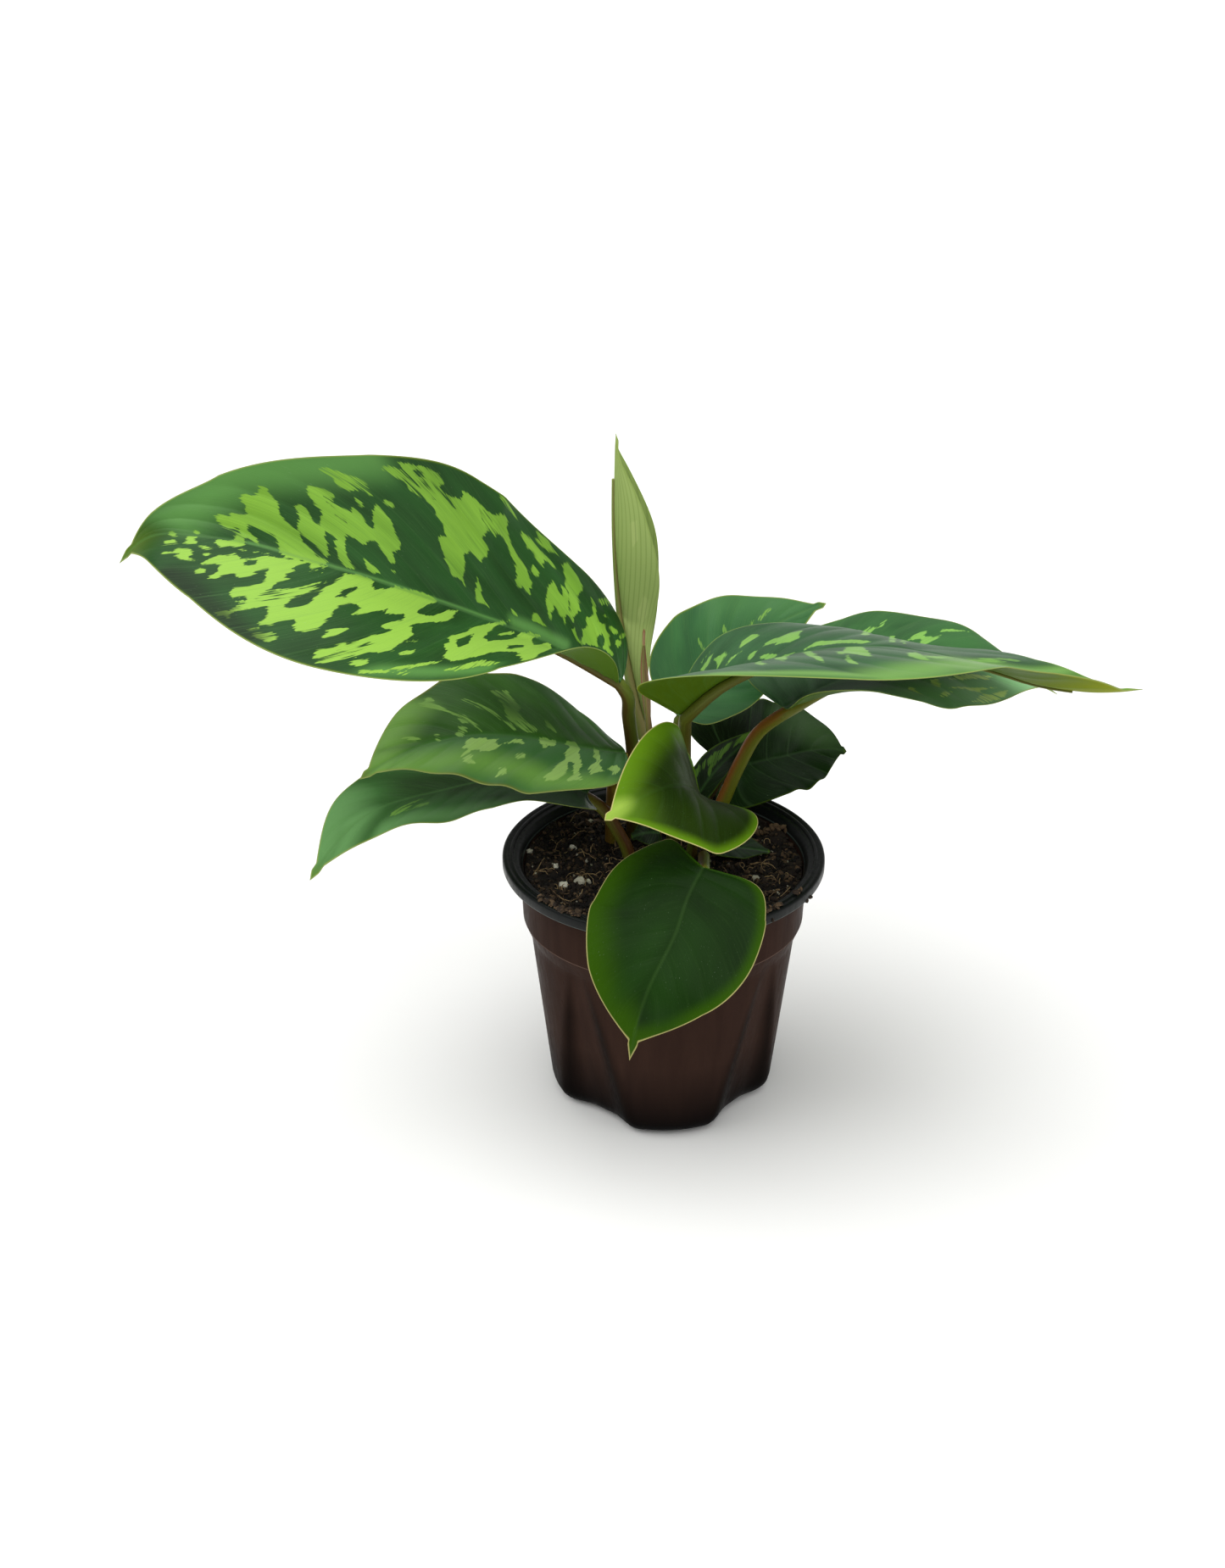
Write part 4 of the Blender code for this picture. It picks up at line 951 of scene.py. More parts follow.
# A leaf's patches follow the real leaf's own, corner by corner: u along the midrib in thousandths, and t
# across the blade in hundredths of its half width.
grow_leaf(
    "leaf_left_large", foot=(-10, 25),
    stalk=[(-10, 22, 95), (-10.5, 17, 122), (-12, 10, 138), (-13, 3, 150)], radius=2.6,
    midrib=[(-14.5, 0.5, 155.5), (-33.5, 2.5, 166), (-62, -2.5, 180), (-104.5, -13.5, 200.5),
            (-144, -9.5, 209.5), (-164, -3, 207.5), (-177, 4, 195.5)],
    faces=[(1, 61), (1, 55), (-4, 54)], width=(49, 43), lobe=(13, 17), belly=(0.81, 0.76),
    fold=[(77, 14, 5), (-15, 27, 15)], curl=[(20, 11, 4), (-34, 17, 8)],
    grid=(230, 54), wave=(0.5, 3, 0.1), seed=1.0, sweep=(0.10, 0.22), vein_spacing=15.5, quilt=0.55,
    blush_side=(-90, 0), glow=(0.6, 0.6, 0.12),
    # Painted light: the near half's lime is painted lighter for the light it catches; pale strokes paint
    # sheen along the far and near margins and lighten the midrib and the blade beside its base; a painted
    # shadow lies on the near margin by the tip.
    looks=dict(wash="#5f9448", lime="#86b63e", lime_deep="#65922a", lime_left="#8fbc46", glow="#54700a",
               wash_show=0.7),
    washes=[(0.56, 0.97, 0.78, 0.95, 9.0), (0.78, 0.90, 0.88, 0.50, 9.0), (0.24, 0.04, 0.36, 0.06, 4.0),
            (0.38, 0.02, 0.80, 0.02, 0.9), (0.34, -0.92, 0.50, -0.92, 6.0)],
    shades=[(0.66, -0.97, 0.84, -0.92, 5.0)],
    worn=[
        [(430, 72), (445, 98), (560, 98), (530, 76)], [(345, 62), (350, 80), (378, 80), (375, 62)],
        [(540, -64), (548, -95), (572, -95), (572, -68)],
        [(640, 40), (640, 60), (655, 74), (668, 74), (655, 42)]],
    patches=[
        [(232, 93), (227, 87), (219, 85), (213, 75), (218, 70), (222, 61), (219, 56), (218, 49), (221, 44),
         (229, 36), (226, 32), (229, 31), (241, 37), (247, 30), (243, 20), (246, 23), (253, 31), (257, 28),
         (265, 36), (273, 28), (277, 20), (283, 30), (279, 40), (270, 52), (261, 59), (256, 56), (253, 51),
         (249, 50), (249, 54), (245, 64), (242, 60), (239, 72), (241, 82), (236, 88)],
        [(105, 35), (128, 36), (130, 44), (139, 48), (141, 54), (155, 55), (161, 62), (166, 58), (178, 54),
         (181, 58), (186, 62), (188, 70), (200, 74), (193, 67), (196, 62), (191, 58), (192, 54), (203, 48),
         (203, 44), (197, 37), (206, 29), (203, 20), (200, 15), (186, 18), (165, 22), (140, 29), (105, 29)],
        [(158, 74), (161, 77), (166, 75), (173, 69), (172, 67), (163, 73)],
        [(100, 71), (115, 66), (120, 60), (115, 53), (100, 57)],
        [(251, 73), (254, 78), (266, 79), (275, 81), (285, 84), (296, 85), (299, 84), (298, 79), (295, 73),
         (287, 74), (281, 69), (274, 66), (271, 71), (266, 75), (260, 73)],
        [(284, 56), (283, 61), (290, 63), (297, 56), (299, 53), (296, 52), (287, 54)],
        [(315, 33), (311, 34), (310, 39), (304, 40), (303, 55), (308, 58), (317, 61), (325, 75), (325, 79),
         (321, 81), (320, 84), (327, 86), (335, 83), (358, 80), (365, 83), (375, 85), (400, 86), (405, 84),
         (412, 80), (443, 80), (455, 83), (447, 86), (439, 88), (449, 93), (475, 95), (500, 95), (518, 96),
         (516, 91), (543, 93), (552, 92), (550, 89), (527, 85), (517, 83), (518, 82), (515, 78), (495, 73),
         (480, 70), (475, 68), (476, 65), (470, 61), (466, 60), (468, 55), (472, 51), (481, 50), (487, 46),
         (486, 42), (482, 37), (479, 30), (475, 24), (460, 23), (455, 19), (453, 27), (447, 33), (444, 38),
         (441, 43), (434, 44), (428, 47), (415, 43), (408, 41), (402, 45), (392, 47), (381, 53), (380, 55),
         (387, 59), (386, 61), (370, 66), (354, 64), (347, 68), (338, 68), (331, 62), (329, 57), (325, 52),
         (329, 45), (333, 39), (331, 36), (322, 38)],
        [(426, 29), (422, 24), (423, 18), (420, 13), (411, 10), (435, 11), (437, 17), (432, 22)],
        [(305, 21), (313, 19), (320, 12), (293, 12), (278, 14), (293, 14)],
        [(350, 12), (352, 14), (360, 15), (363, 14), (354, 11)],
        [(225, 27), (231, 22), (227, 18), (216, 15), (199, 13), (203, 16), (213, 20)],
        [(551, 63), (555, 67), (568, 70), (571, 67), (565, 65)],
        [(607, 60), (607, 66), (614, 68), (617, 66), (611, 61)],
        [(587, 64), (592, 61), (597, 56), (600, 53), (599, 49), (603, 46), (608, 47), (612, 52), (624, 60),
         (629, 57), (647, 61), (655, 63), (650, 65), (646, 70), (651, 73), (663, 76), (678, 77), (683, 74),
         (685, 64), (681, 59), (676, 56), (678, 51), (682, 47), (688, 42), (694, 43), (697, 55), (703, 61),
         (711, 57), (712, 47), (720, 39), (723, 35), (721, 30), (706, 21), (690, 7), (688, 9), (686, 30),
         (682, 36), (674, 33), (670, 30), (675, 27), (673, 13), (670, 8), (663, 4), (648, 6), (657, 9),
         (660, 21), (653, 33), (650, 36), (638, 34), (633, 30), (624, 29), (619, 33), (607, 35), (601, 30),
         (592, 22), (588, 19), (583, 21), (581, 29), (566, 33), (563, 38), (569, 46), (568, 54), (581, 62)],
        [(632, 18), (633, 11), (630, 8), (620, 6), (609, 8), (613, 11), (624, 14)],
        [(583, 12), (587, 16), (589, 13)],
        [(742, 79), (751, 71), (762, 69), (766, 72), (773, 72), (780, 63), (777, 57), (783, 47), (790, 43),
         (802, 48), (806, 44), (812, 42), (818, 48), (829, 42), (830, 38), (825, 27), (820, 24), (807, 24),
         (805, 16), (807, 12), (815, 15), (816, 5), (823, -4), (836, -3), (838, -8), (830, -17), (824, -19),
         (816, -13), (808, -12), (802, -8), (803, 6), (800, 12), (785, 2), (788, 18), (793, 24), (790, 33),
         (777, 27), (761, 20), (757, -2), (740, -5), (699, -1), (691, 5), (706, 8), (720, 21), (724, 32),
         (739, 44), (739, 49), (733, 62), (737, 71), (735, 77)],
        [(861, 10), (866, 17), (870, 13), (870, 7), (866, 4)],
        [(896, 11), (903, 9), (903, 0), (898, -17), (887, -14), (895, 0)],
        [(297, 3), (322, 2), (347, -1), (353, -5), (350, -12), (353, -20), (360, -27), (370, -31),
         (380, -34), (390, -38), (396, -36), (403, -33), (405, -20), (402, -8), (397, -3), (385, 0),
         (372, 5), (385, 3), (400, 0), (413, -3), (427, -12), (440, -22), (442, -29), (456, -36),
         (461, -39), (461, -44), (456, -50), (460, -54), (456, -58), (448, -62), (445, -66), (447, -73),
         (437, -72), (426, -75), (403, -72), (372, -67), (347, -61), (325, -63), (313, -70), (318, -75),
         (310, -80), (300, -96), (288, -97), (280, -80), (268, -50), (267, -10), (275, -2), (285, -2),
         (293, -7), (301, -24), (309, -33), (316, -20), (321, -5), (319, -2)],
        [(360, -3), (374, -9), (388, -19), (385, -22), (381, -23), (364, -11)],
        [(472, -1), (484, -3), (494, -8), (509, -18), (518, -21), (537, -21), (539, -18), (530, -8),
         (512, 0), (520, 3), (560, 2), (585, 1), (598, -5), (617, -11), (620, -9), (622, 0), (645, 1),
         (662, -3), (668, -12), (668, -20), (671, -24), (670, -36), (665, -46), (667, -53), (676, -60),
         (681, -59), (688, -51), (693, -53), (696, -62), (694, -68), (687, -69), (680, -78), (679, -82),
         (673, -85), (663, -80), (663, -74), (654, -66), (645, -70), (642, -73), (634, -76), (627, -74),
         (620, -67), (622, -62), (627, -52), (634, -39), (627, -32), (618, -31), (609, -36), (612, -44),
         (613, -46), (606, -45), (595, -36), (579, -27), (578, -32), (573, -33), (553, -26), (549, -35),
         (558, -40), (565, -45), (564, -47), (550, -49), (551, -53), (562, -60), (566, -66), (579, -75),
         (578, -80), (586, -84), (583, -90), (568, -96), (555, -95), (548, -88), (542, -76), (530, -76),
         (519, -71), (522, -62), (508, -57), (504, -52), (520, -59), (518, -49), (531, -40), (530, -37),
         (510, -29), (498, -27), (483, -18)],
        [(496, -65), (503, -67), (508, -71), (507, -74), (501, -73), (493, -71)],
        [(529, -81), (540, -87), (540, -90), (533, -92), (524, -90), (523, -87)],
        [(593, -58), (604, -62), (608, -66), (600, -74), (593, -65)],
        [(689, -5), (697, -12), (695, -13), (690, -9)],
        [(690, 0), (700, -6), (706, -14), (712, -4), (718, -2)],
        [(720, -4), (728, -13), (725, -16), (722, -19), (728, -27), (717, -31), (723, -39), (719, -46),
         (718, -57), (716, -68), (726, -76), (735, -79), (735, -77), (725, -70), (728, -66), (733, -67),
         (739, -74), (746, -73), (753, -66), (741, -56), (734, -47), (735, -41), (741, -38), (748, -28),
         (756, -37), (756, -47), (762, -51), (776, -51), (782, -61), (780, -66), (790, -72), (793, -56),
         (801, -48), (807, -48), (823, -60), (822, -50), (817, -32), (807, -29), (802, -20), (790, -28),
         (775, -20), (773, -13), (750, -10), (730, -4)],
        [(808, -61), (817, -62), (818, -67), (810, -74), (802, -66)],
        [(833, -23), (842, -23), (852, -26), (843, -31), (835, -29)],
        [(827, -35), (834, -40), (830, -43), (826, -40)],
        [(855, -39), (869, -45), (869, -52), (865, -57), (857, -53), (859, -66), (840, -63), (829, -54),
         (834, -52), (841, -55), (846, -46)], [(871, -59), (878, -65), (873, -68)],
        [(866, -3), (877, -7), (872, -20), (873, -25), (869, -28), (858, -22), (865, -10)],
        [(890, -24), (890, -29), (897, -33), (893, -44), (880, -31)],
        [(763, -7), (785, -9), (801, -15), (797, -16), (777, -10)]],
    streaks=[
        [(584, 71), (586, 80), (596, 84), (612, 86), (640, 92), (650, 91), (648, 87), (640, 86), (633, 77),
         (620, 73), (597, 75), (589, 70)],
        [(677, -17), (688, -26), (699, -38), (715, -48), (717, -55), (716, -68), (724, -85), (718, -86),
         (698, -70), (695, -60), (682, -42)],
        [(325, -90), (330, -84), (345, -79), (365, -76), (400, -80), (420, -87), (405, -89), (360, -86)],
        [(440, -75), (455, -78), (490, -87), (492, -90), (478, -89), (448, -79)],
        [(480, -91), (495, -91), (517, -95), (516, -98), (490, -95)], [(465, -90), (479, -94), (464, -95)],
        [(640, -86), (652, -84), (672, -87), (676, -93), (655, -95), (637, -94)],
        [(716, -88), (735, -91), (743, -96), (721, -95), (708, -93)],
        [(245, 90), (255, 97), (270, 97), (275, 88), (262, 86)],
        [(300, 91), (318, 92), (330, 96), (326, 99), (308, 95)], (0.103, 0.95, 0.11, 0.78, 1.2),
        (0.13, 0.70, 0.145, 0.66, 1.2), (0.17, 0.95, 0.18, 0.84, 1.0)],
    holes=[
        [(145, 31), (143, 35), (150, 42), (161, 45), (170, 36), (167, 31), (160, 27), (150, 25)],
        [(478, 90), (484, 92), (498, 92), (503, 90), (488, 87)],
        [(236, 58), (239, 60), (237, 40), (235, 38)],
        [(322, -42), (330, -42), (347, -45), (344, -55), (338, -56), (322, -48)],
        [(423, -28), (427, -29), (438, -39), (445, -45), (444, -50), (435, -55), (418, -49), (424, -40)],
        [(636, -14), (640, -14), (649, -22), (650, -32), (640, -28)],
        [(769, -21), (780, -26), (775, -36), (767, -29)]])


# Front right leaf
# The longest leaf on the right, held out almost level over the others: dark blue-green, with lime streaks
# in the near half, a pale margin and a broad band of painted sheen from the near margin towards the tip. Its
# base lobes hang down beside the stalk.

grow_leaf(
    "leaf_right_front", foot=(4, 21), stalk=[(5, 20, 97), (7, 17, 113), (7, 13, 128)], radius=2.6,
    midrib=[(5.5, 4.5, 141.5), (17, 2.5, 153.5), (33.5, 1.5, 162), (68.5, 2, 167), (106, 5.5, 158),
            (124.5, 3, 153), (140.5, 2, 151), (159, 6, 150)],
    faces=[(-4, 103), (4, 99), (2, 100)], width=(42, 49), lobe=(18, 15), belly=(0.93, 0.74),
    fold=[(37, 2, 33), (42, 12, 61)], curl=[(14, -22, -4), (-30, -15, 4)],
    grid=(170, 44), wave=(0.5, 3, 0.4), seed=2.0, vein_spacing=15.0, quilt=0.45, glow=(0.8, 1.2, 0.24),
    looks=dict(dark="#356038", deep="#264a2a", lime="#84b456", lime_deep="#6ca044", glow="#6c9a34",
               wash="#78a850", wash_show=0.8, stalk="#5c6420", stalk_blush="#4c4a18", hair_show=0.4,
               under="#435c08", under_lime="#5a7410", under_glow="#8a9210"),
    # Painted sheen: a broad pale band from the near margin towards the tip.
    washes=[(0.24, 0.97, 0.42, 0.95, 5.0), (0.42, 0.95, 0.58, 0.80, 11.0), (0.56, 0.90, 0.72, 0.45, 15.0),
            (0.68, 0.40, 0.78, -0.20, 10.0), (0.75, -0.10, 0.84, -0.80, 7.0)],
    patches=[
        [(338, 55), (345, 50), (378, 28), (412, 3), (420, -2), (395, -2), (370, 12), (355, 25), (340, 40)],
        [(373, 70), (405, 50), (440, 15), (452, 0), (435, 5), (415, 25), (395, 45)],
        [(415, 68), (428, 72), (450, 52), (465, 42), (438, 55)],
        [(480, 53), (490, 52), (525, 25), (545, 8), (550, 0), (520, 2), (505, 12), (478, 30), (462, 30),
         (450, 42), (470, 40)], [(543, 70), (565, 55), (605, 28), (570, 40), (545, 52), (538, 62)],
        [(295, -20), (312, -15), (314, -25), (308, -32), (298, -28)],
        [(240, -25), (250, -30), (280, -40), (255, -38)],
        [(215, -33), (225, -40), (238, -50), (240, -58), (225, -55), (205, -58), (215, -48)],
        [(265, -47), (290, -58), (292, -62), (285, -70), (275, -72), (265, -65)],
        [(320, -34), (345, -34), (352, -28), (385, -28), (400, -35), (385, -42), (378, -50), (370, -58),
         (350, -55), (340, -48), (325, -46), (318, -42)],
        [(170, -56), (190, -58), (205, -72), (190, -74), (165, -68)], [(170, -80), (190, -82), (195, -85)],
        [(355, -3), (375, -2), (380, -8), (352, -14), (330, -14), (335, -11)],
        [(430, 0), (445, -5), (460, -10), (545, -8), (560, -14), (530, -18), (455, -20)]],
    streaks=[(0.30, 0.68, 0.335, 0.05, 0.9), (0.60, -0.20, 0.565, -0.95, 1.0),
             (0.62, -0.20, 0.60, -0.75, 0.8), (0.53, -0.40, 0.49, -0.90, 1.4),
             (0.74, -0.15, 0.77, -0.65, 1.5), (0.57, 0.60, 0.62, 0.50, 1.6)])


# Back right leaf
# Behind the front right leaf, held lower and level, with a wavy margin.

grow_leaf(
    "leaf_right_back", foot=(16, 22), stalk=[(21, 23, 99), (27, 24, 114), (33, 23, 126)], radius=2.6,
    midrib=[(41, 21, 136), (59, 31, 141), (88, 40, 146), (116, 44, 142), (140, 50, 128)],
    faces=[(-1, 91), (-2, 85), (0, 82)], width=(35, 40), lobe=(16, 16), belly=(0.79, 0.79),
    fold=[(19, 6, 5), (37, 4, 0)], curl=[(-5, -9, -1), (2, -4, -2)],
    grid=(130, 34), wave=(0.7, 4, 0), tip=0.06, seed=3.0, vein_spacing=12.5, quilt=0.45,
    blush_side=(-120, 0), glow=(0.8, 0.8, 0.07),
    # Painted light: the near half lies in the front right leaf's shadow, so it is painted pale, with brighter
    # lime and a pale stroke over it, for the light that reaches under that leaf.
    looks=dict(dark="#3a6c36", deep="#285028", lime="#d4f08c", lime_deep="#bce07c", lime_left="#7cb050",
               wash="#8cc484", wash_show=0.85, under="#3c560c", stalk="#575c10", stalk_blush="#7a4a14",
               hair_show=0.4),
    washes=[(0.34, 0.85, 0.72, 0.80, 22.0), (0.72, 0.75, 0.84, 0.75, 12.0)],
    patches=[
        [(425, 72), (432, 76), (448, 60), (440, 58), (420, 64)],
        [(555, -35), (580, -42), (585, -52), (605, -63), (610, -58), (600, -50), (615, -50), (650, -60),
         (640, -43), (630, -34), (610, -33), (612, -42), (605, -45), (590, -40)],
        [(535, -38), (540, -49), (530, -52), (512, -45)]],
    streaks=[
        [(475, 84), (500, 84), (575, 76), (530, 74), (490, 80)],
        [(530, 68), (560, 62), (575, 52), (545, 52), (525, 60)],
        [(600, 52), (625, 55), (700, 56), (740, 60), (755, 50), (700, 46), (650, 48)],
        [(600, 95), (650, 98), (720, 96), (750, 88), (700, 86), (650, 86)],
        [(555, 70), (660, 77), (730, 78), (640, 70)], [(485, -65), (497, -68), (505, -88), (482, -76)],
        [(632, -66), (655, -72), (705, -90), (640, -76)], (0.45, -0.55, 0.46, -0.66, 1.2)])


# Rear leaf
# Stands at the back, leaning away to the right: plain blue-green with a few faint streaks.

grow_leaf(
    "leaf_back_right", foot=(5, 34), stalk=[(4, 32, 105)], radius=2.2,
    midrib=[(6, 29, 129), (18, 52, 133), (39, 76, 142), (61, 93, 145)],
    faces=[(33, 67), (33, 57), (32, 65)], width=(25, 17), lobe=(13, 13), belly=(0.73, 0.73),
    fold=[(33, 9, 3), (22, 0, 0)], curl=[(10, 0, 1), (0, -7, -2)],
    grid=(110, 30), wave=(0.8, 4, 0.3), seed=4.0, vein_spacing=10.0, quilt=0.35, glow=(0.5, 0.5, 0.04),
    # Painted sheen: a pale stroke along the left margin towards the tip.
    looks=dict(dark="#3c6e3c", deep="#2a5430", lime="#6a9450", wash="#4f8048", hair_show=0.4),
    washes=[(0.60, -0.95, 0.90, -0.80, 9.0)],
    streaks=[(0.755, -0.38, 0.77, -0.45, 0.8), (0.775, -0.52, 0.79, -0.56, 0.6),
             (0.70, -0.20, 0.72, -0.40, 0.4), (0.60, -0.25, 0.60, -0.50, 0.4),
             (0.48, -0.30, 0.47, -0.55, 0.4)])


# Dark right leaf
# An old, very dark leaf low on the right, whose side veins show paler.

grow_leaf(
    "leaf_right_dark", foot=(13, 35), stalk=[(17, 39, 94)], radius=2.2,
    midrib=[(24, 43, 102), (42, 48, 104), (60, 53, 105), (67, 55, 103)],
    faces=[(0, 61), (-2, 68), (4, 48)], width=(31, 21), lobe=(16, 16), belly=(0.82, 0.82),
    fold=[(2, 2, 4), (3, 10, 2)], curl=[(0, -11, -3), (-1, 4, 1)],
    grid=(100, 34), wave=(1.0, 5, 0.2), seed=5.0, vein_spacing=7.0, quilt=0.5, glow=(0.4, 0.4, 0.03),
    # A painted shadow darkens the blade by its base, behind the stalks; a pale stroke lightens it towards the
    # tip.
    looks=dict(dark="#1c3614", deep="#102408", vein="#3f5c34", vein_show=0.35, margin="#1c2a12",
               wash="#4c6a40", wash_show=0.7, shade="#060f02", gloss=0.12),
    washes=[(0.62, -0.80, 0.86, -0.55, 9.0)],
    shades=[(0.10, -0.60, 0.32, -0.60, 14.0)])


# Folded right leaf
# A small young leaf still folded along its midrib, tucked between the right-hand stalks.

grow_leaf(
    "leaf_right_folded", foot=(12, 28), stalk=[(11.5, 28, 91)], radius=1.6,
    midrib=[(11, 28, 96), (19, 32, 107), (30, 36, 116.5), (36, 38, 121.5)],
    faces=[(-21, 40), (-22, 40), (-22, 40)], width=(7, 5), lobe=(4, 4), belly=(0.72, 0.72),
    fold=[(20, 30, 30), (20, 30, 30)],
    grid=(50, 12), seed=6.0, vein_spacing=5.0, quilt=0.15,
    looks=dict(dark="#0f2806", deep="#091b03", lime="#2e5412", margin="#3c5a1c"),
    streaks=[(0.45, -0.20, 0.60, -0.50, 0.8), (0.30, -0.75, 0.85, -0.80, 0.8)])


# Middle left leaf
# Below the large left leaf, facing up and forwards: glossy, dark, with lime flecks along the near half.

grow_leaf(
    "leaf_left_middle", foot=(-18, 20), stalk=[(-17.5, 19, 106), (-17, 13, 117)], radius=2.2,
    midrib=[(-13, 8.5, 125), (-27, 6.5, 128), (-46.5, 5, 132.5), (-63.5, 1.5, 135), (-85.5, -6, 132.5),
            (-100.5, -16, 127.5)],
    faces=[(0, 81), (-1, 69), (0, 68)], width=(26, 31), lobe=(10, 7), belly=(0.67, 0.82),
    fold=[(12, 3, 2), (-17, 4, 1)], curl=[(-2, -8, -2), (-1, -6, -2)],
    grid=(130, 36), wave=(1.0, 5, 0.4), seed=7.0, vein_spacing=9.5, quilt=0.45, blush_side=(-90, 0),
    glow=(1.0, 0.8, 0.05),
    # Painted light: the near half and its lime are painted lighter, with pale strokes of sheen along the near
    # margin and by the tip; a painted shadow lies over the far half by the base, under the large left leaf.
    looks=dict(dark="#32600f", deep="#234c0e", lime="#80aa4c", lime_deep="#6c9840", dark_left="#41703a",
               lime_left="#9cc468", wash="#7fb04e", wash_show=0.72, shade="#1f4406", glow="#76722c",
               stalk="#7d7022", stalk_blush="#6a501e", hair_show=0.35),
    washes=[(0.20, -1.0, 0.88, -0.95, 8.5), (0.92, 0.75, 0.93, -0.60, 10.0), (0.74, 0.95, 0.86, 0.80, 8.0)],
    shades=[(0.10, 0.30, 0.50, 0.45, 13.0)],
    patches=[
        [(215, -2), (240, 2), (247, -4), (237, -12), (245, -20), (232, -28), (235, -38), (250, -42),
         (252, -55), (245, -68), (225, -64), (208, -60), (215, -48), (225, -38), (212, -30), (210, -15)],
        [(320, 5), (335, 7), (352, 5), (370, 0), (350, -4), (347, -22), (335, -35), (345, -45), (340, -60),
         (350, -65), (345, -72), (335, -80), (315, -76), (305, -65), (312, -45), (318, -38), (302, -40),
         (290, -55), (292, -70), (285, -82), (262, -80), (280, -52), (275, -45), (290, -30), (300, -15),
         (297, -8)], [(145, -50), (170, -48), (190, -57), (168, -64), (175, -75), (150, -75), (133, -68)],
        [(400, 2), (430, 3), (465, 2), (467, -3), (440, -17), (425, -15), (435, -9), (405, -9)],
        [(525, -6), (545, -6), (560, -14), (575, -16), (580, -25), (555, -17), (512, -14)],
        [(585, -6), (600, -9), (640, -12), (690, -8), (697, -20), (690, -28), (697, -35), (655, -42),
         (605, -42), (585, -36), (580, -26), (600, -22)],
        [(412, 36), (422, 27), (415, 20), (392, 16), (405, 26)],
        [(832, 57), (835, 50), (828, 42), (830, 30), (822, 22), (808, 24), (816, 38)]],
    streaks=[
        [(660, -42), (680, -42), (685, -58), (655, -74), (630, -70), (650, -60)],
        [(497, -32), (515, -40), (500, -50), (485, -52), (475, -44), (490, -36)],
        [(510, -62), (537, -70), (530, -80), (535, -84), (520, -87), (497, -78), (510, -70)],
        [(470, 72), (530, 70), (525, 50), (543, 30), (530, 18), (505, 8), (475, 8), (460, 15), (490, 28),
         (495, 38), (470, 45)],
        [(680, 88), (718, 86), (715, 72), (690, 52), (682, 40), (688, 25), (662, 22), (650, 5), (655, 40),
         (688, 62)], (0.54, 0.12, 0.62, 0.62, 0.7), (0.695, 0.15, 0.71, 0.05, 1.0),
        (0.77, 0.14, 0.773, 0.05, 0.7)])


# Low left leaf
# The lowest leaf on the left, arching over and down past the pot: plain green, with painted sheen along its
# near margin and by its tip, and painted shadow over the half by its base.

grow_leaf(
    "leaf_left_low", foot=(-12, 9), stalk=[(-16, 10, 95), (-20, 12, 101)], radius=2.4,
    midrib=[(-26, 16, 106), (-45, 20, 110), (-76, 14, 108), (-101, 1, 105), (-119, -17, 90)],
    faces=[(-1, 81), (-3, 84), (-4, 75)], width=(26, 29), lobe=(23, 14), belly=(0.71, 0.71),
    fold=[(22, 12, 8), (11, 5, 1)], curl=[(7, -5, 1), (0, -5, -2)],
    grid=(130, 34), wave=(0.8, 4, 0.1), seed=8.0, vein_spacing=9.5, quilt=0.4, glow=(0.6, 0.6, 0.06),
    # Painted sheen along the near margin and by the tip; painted shadow by the base, under the middle left
    # leaf.
    looks=dict(dark="#3a6a30", deep="#2a541e", lime="#5a8a40", stalk="#6d6f26", stalk_blush="#5b3b1c",
               wash="#6a9c5c", wash_show=0.7, shade="#132c02", gloss=0.10, hair_show=0.25),
    washes=[(0.74, 0.90, 0.92, 0.60, 12.0), (0.35, -0.97, 0.75, -0.95, 7.0),
            (0.84, 0.10, 0.88, -0.60, 12.0)],
    shades=[(0.0, 0.3, 0.62, 0.25, 20.0), (0.0, -0.2, 0.56, -0.1, 10.0)],
    streaks=[(0.64, -0.42, 0.72, -0.50, 1.2), (0.66, -0.20, 0.73, -0.45, 0.6)])


# Upper front leaf
# A young leaf that hangs forwards over the rim, still bright yellow-green along one side and at its tip.

grow_leaf(
    "leaf_front_upper", foot=(10, 9), stalk=[(11, 5, 97), (12, 0, 108)], radius=2.0,
    midrib=[(13, -6, 115.5), (1, -26.5, 130), (-9.5, -35, 129.5), (-20, -41.5, 125.5)],
    faces=[(-1, 63), (3, 49), (-10, 54)], width=(27, 22), lobe=(7, 10), belly=(0.71, 0.65),
    fold=[(25, 0, 2), (45, 19, 9)], curl=[(-15, -7, -1), (-18, -6, -2)],
    grid=(110, 36), wave=(0.3, 3, 0), seed=9.0, vein_spacing=7.5, quilt=0.3, glow=(4.5, 11.0, 0.34),
    looks=dict(dark="#24370a", deep="#1a2c06", glow="#5c8414", margin="#c2b878", wash="#98b848",
               wash_show=1.0, gloss=0.14, vein_show=0.04, hair_show=0.08, rib_show=0.05, rim_show=0.9),
    washes=[(0.98, -0.2, 0.92, 0.4, 6.0)])


# Lower front leaf
# Hangs down in front of the pot from a stalk bent over the rim: broad and heart-shaped, dark, with a
# narrow drip tip and a lighter right margin.

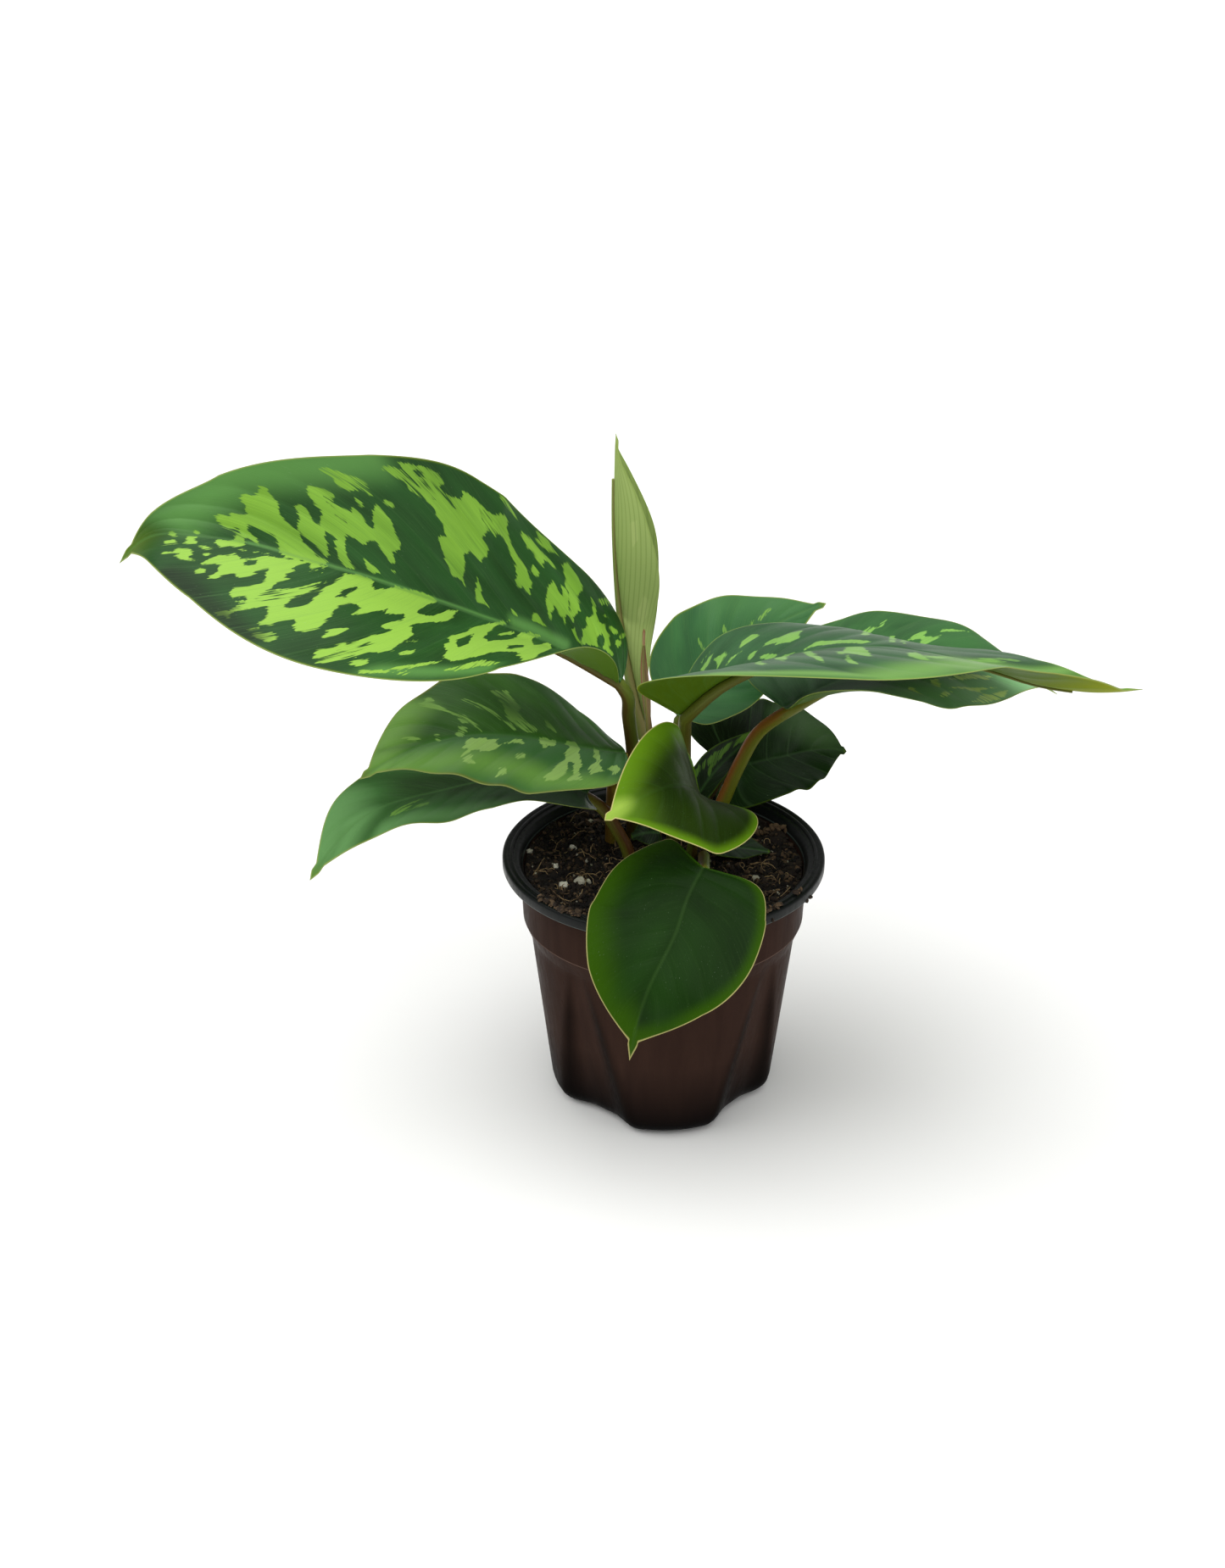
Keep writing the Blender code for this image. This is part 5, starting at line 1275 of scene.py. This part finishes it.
grow_leaf(
    "leaf_front_lower", foot=(14, 3), stalk=[(13.5, -6, 93), (13, -20, 99)], radius=2.2,
    midrib=[(12, -41, 108), (7, -49, 102), (3, -58, 94), (-6, -69, 79), (-12, -69, 52)],
    faces=[(-8, 64), (-8, 47), (-11, 19)], width=(28, 29), lobe=(12, 19), belly=(0.75, 0.75),
    fold=[(0, 11, 5), (-11, 10, 5)], curl=[(-8, -2, 1), (-15, -4, -1)],
    grid=(120, 40), wave=(0.3, 3, 0.5), tip=0.09, seed=10.0, vein_spacing=8.5, quilt=0.35,
    blush_side=(-90, 0), glow=(5.0, 12.0, 0.14),
    looks=dict(dark="#16300a", deep="#0f2406", glow="#2c4c08", vein="#3c5a28", margin="#a39c64",
               wash="#1c3a10", gloss=0.06, vein_show=0.03, hair_show=0.10, rib_show=0.22, rim_show=0.9),
    washes=[(0.45, -0.20, 0.70, -0.40, 12.0), (0.50, 0.20, 0.70, 0.40, 8.0)])


# Leaves on the mix
# Two small old leaves that lie on the potting mix near the middle, dark and half hidden.

grow_leaf(
    "leaf_soil_right", foot=(20, 15), stalk=[(19, 12, 88.5)], radius=1.3,
    midrib=[(18, 9.5, 88.5), (27, 8.5, 88.5), (37, 7, 87.8)],
    faces=[(0, 88), (0, 88), (0, 88)], width=(9, 8), lobe=(4, 4), belly=(0.8, 0.8),
    fold=[(8, 3, 0), (8, 3, 0)],
    grid=(50, 14), wave=(0.2, 3, 0), seed=11.0, vein_spacing=4.0, quilt=0.12,
    looks=dict(dark="#1c3018", deep="#142610", margin="#26361a"))

grow_leaf(
    "leaf_soil_left", foot=(-2, 15), stalk=[(-1.5, 14.5, 90)], radius=1.3,
    midrib=[(-1, 14, 91.5), (-6, 13, 92), (-11, 12.5, 90.5)],
    faces=[(0, 55), (0, 55), (0, 55)], width=(5, 5), lobe=(2, 2), belly=(0.8, 0.8),
    fold=[(8, 3, 0), (8, 3, 0)],
    grid=(40, 10), seed=12.0, vein_spacing=3.5, quilt=0.1,
    looks=dict(dark="#1a2c14", deep="#12200c", margin="#26361a"))


# Spear leaf
# The newest leaf, upright and still rolled along its length: matt sage green with fine slanting veins,
# faint pale blotches where the lime patches will come, and a brown tinge at its foot.

grow_leaf(
    "leaf_spear", "young_leaf", foot=(-3, 31), stalk=[(-3, 31, 98), (-3, 29.5, 112)], radius=2.8,
    midrib=[(-5, 27.5, 124.5), (-9, 28, 141), (-13, 30, 161.8), (-16, 25.5, 193.5), (-16, 18, 234.5)],
    faces=[(90, 0), (90, 0), (90, 0)], width=(15, 15), lobe=(0, 0), belly=(1.25, 1.25),
    fold=[(85, 80, 75), (95, 92, 88)],
    grid=(130, 24), wave=(0.3, 3, 0.2), seed=13.0, sweep=(0.6, 0.6), vein_spacing=9.0, quilt=0.10,
    glow=(0.5, 0.5, 0.1),
    looks=dict(dark="#a8bc70", deep="#94aa5e", lime="#c4d484", lime_deep="#bccc7c", glow="#9cb05c",
               vein="#7d9650", margin="#9ab062", under="#a8bc70", under_lime="#c0ce84", stalk="#8a9a52",
               stalk_blush="#8a8450", vein_show=0.5, vein_wide=2.0, rib_show=0.1, gloss=0.12,
               wash="#8f7c50"),
    washes=[(0.0, -0.5, 0.10, 0.5, 10.0)],
    patches=[
        [(440, -50), (500, -45), (540, -62), (500, -72), (450, -68)],
        [(600, 50), (660, 48), (670, 66), (610, 70)], [(700, -52), (770, -60), (760, -78), (705, -70)],
        [(520, 55), (560, 60), (555, 80), (515, 76)], [(350, -50), (400, -52), (395, -66), (355, -64)]])


# Leaf sheath
# The papery sheath that wrapped the spear leaf, now drying pinkish brown beside its foot.

grow_leaf(
    "leaf_sheath", "leaf_sheath", foot=(-2, 22), stalk=[(-3, 18, 105)], radius=1.5,
    midrib=[(-5, 9, 133), (-6, 8, 145), (-7, 8, 158), (-7, 8, 171)],
    faces=[(180, 5), (180, 5), (180, 5)], width=(1.4, 1.4), lobe=(0, 0), belly=(0.8, 0.8),
    fold=[(30, 30, 20), (30, 30, 20)],
    grid=(60, 8), seed=14.0, sweep=(0.0, 0.0), vein_spacing=2.0, quilt=0.03,
    looks=dict(dark="#a48e62", deep="#8f9258", glow="#9a6a4a", vein="#b89a7c", margin="#95604a",
               under="#a08a60", stalk="#7d7a40", stalk_blush="#86704c"))
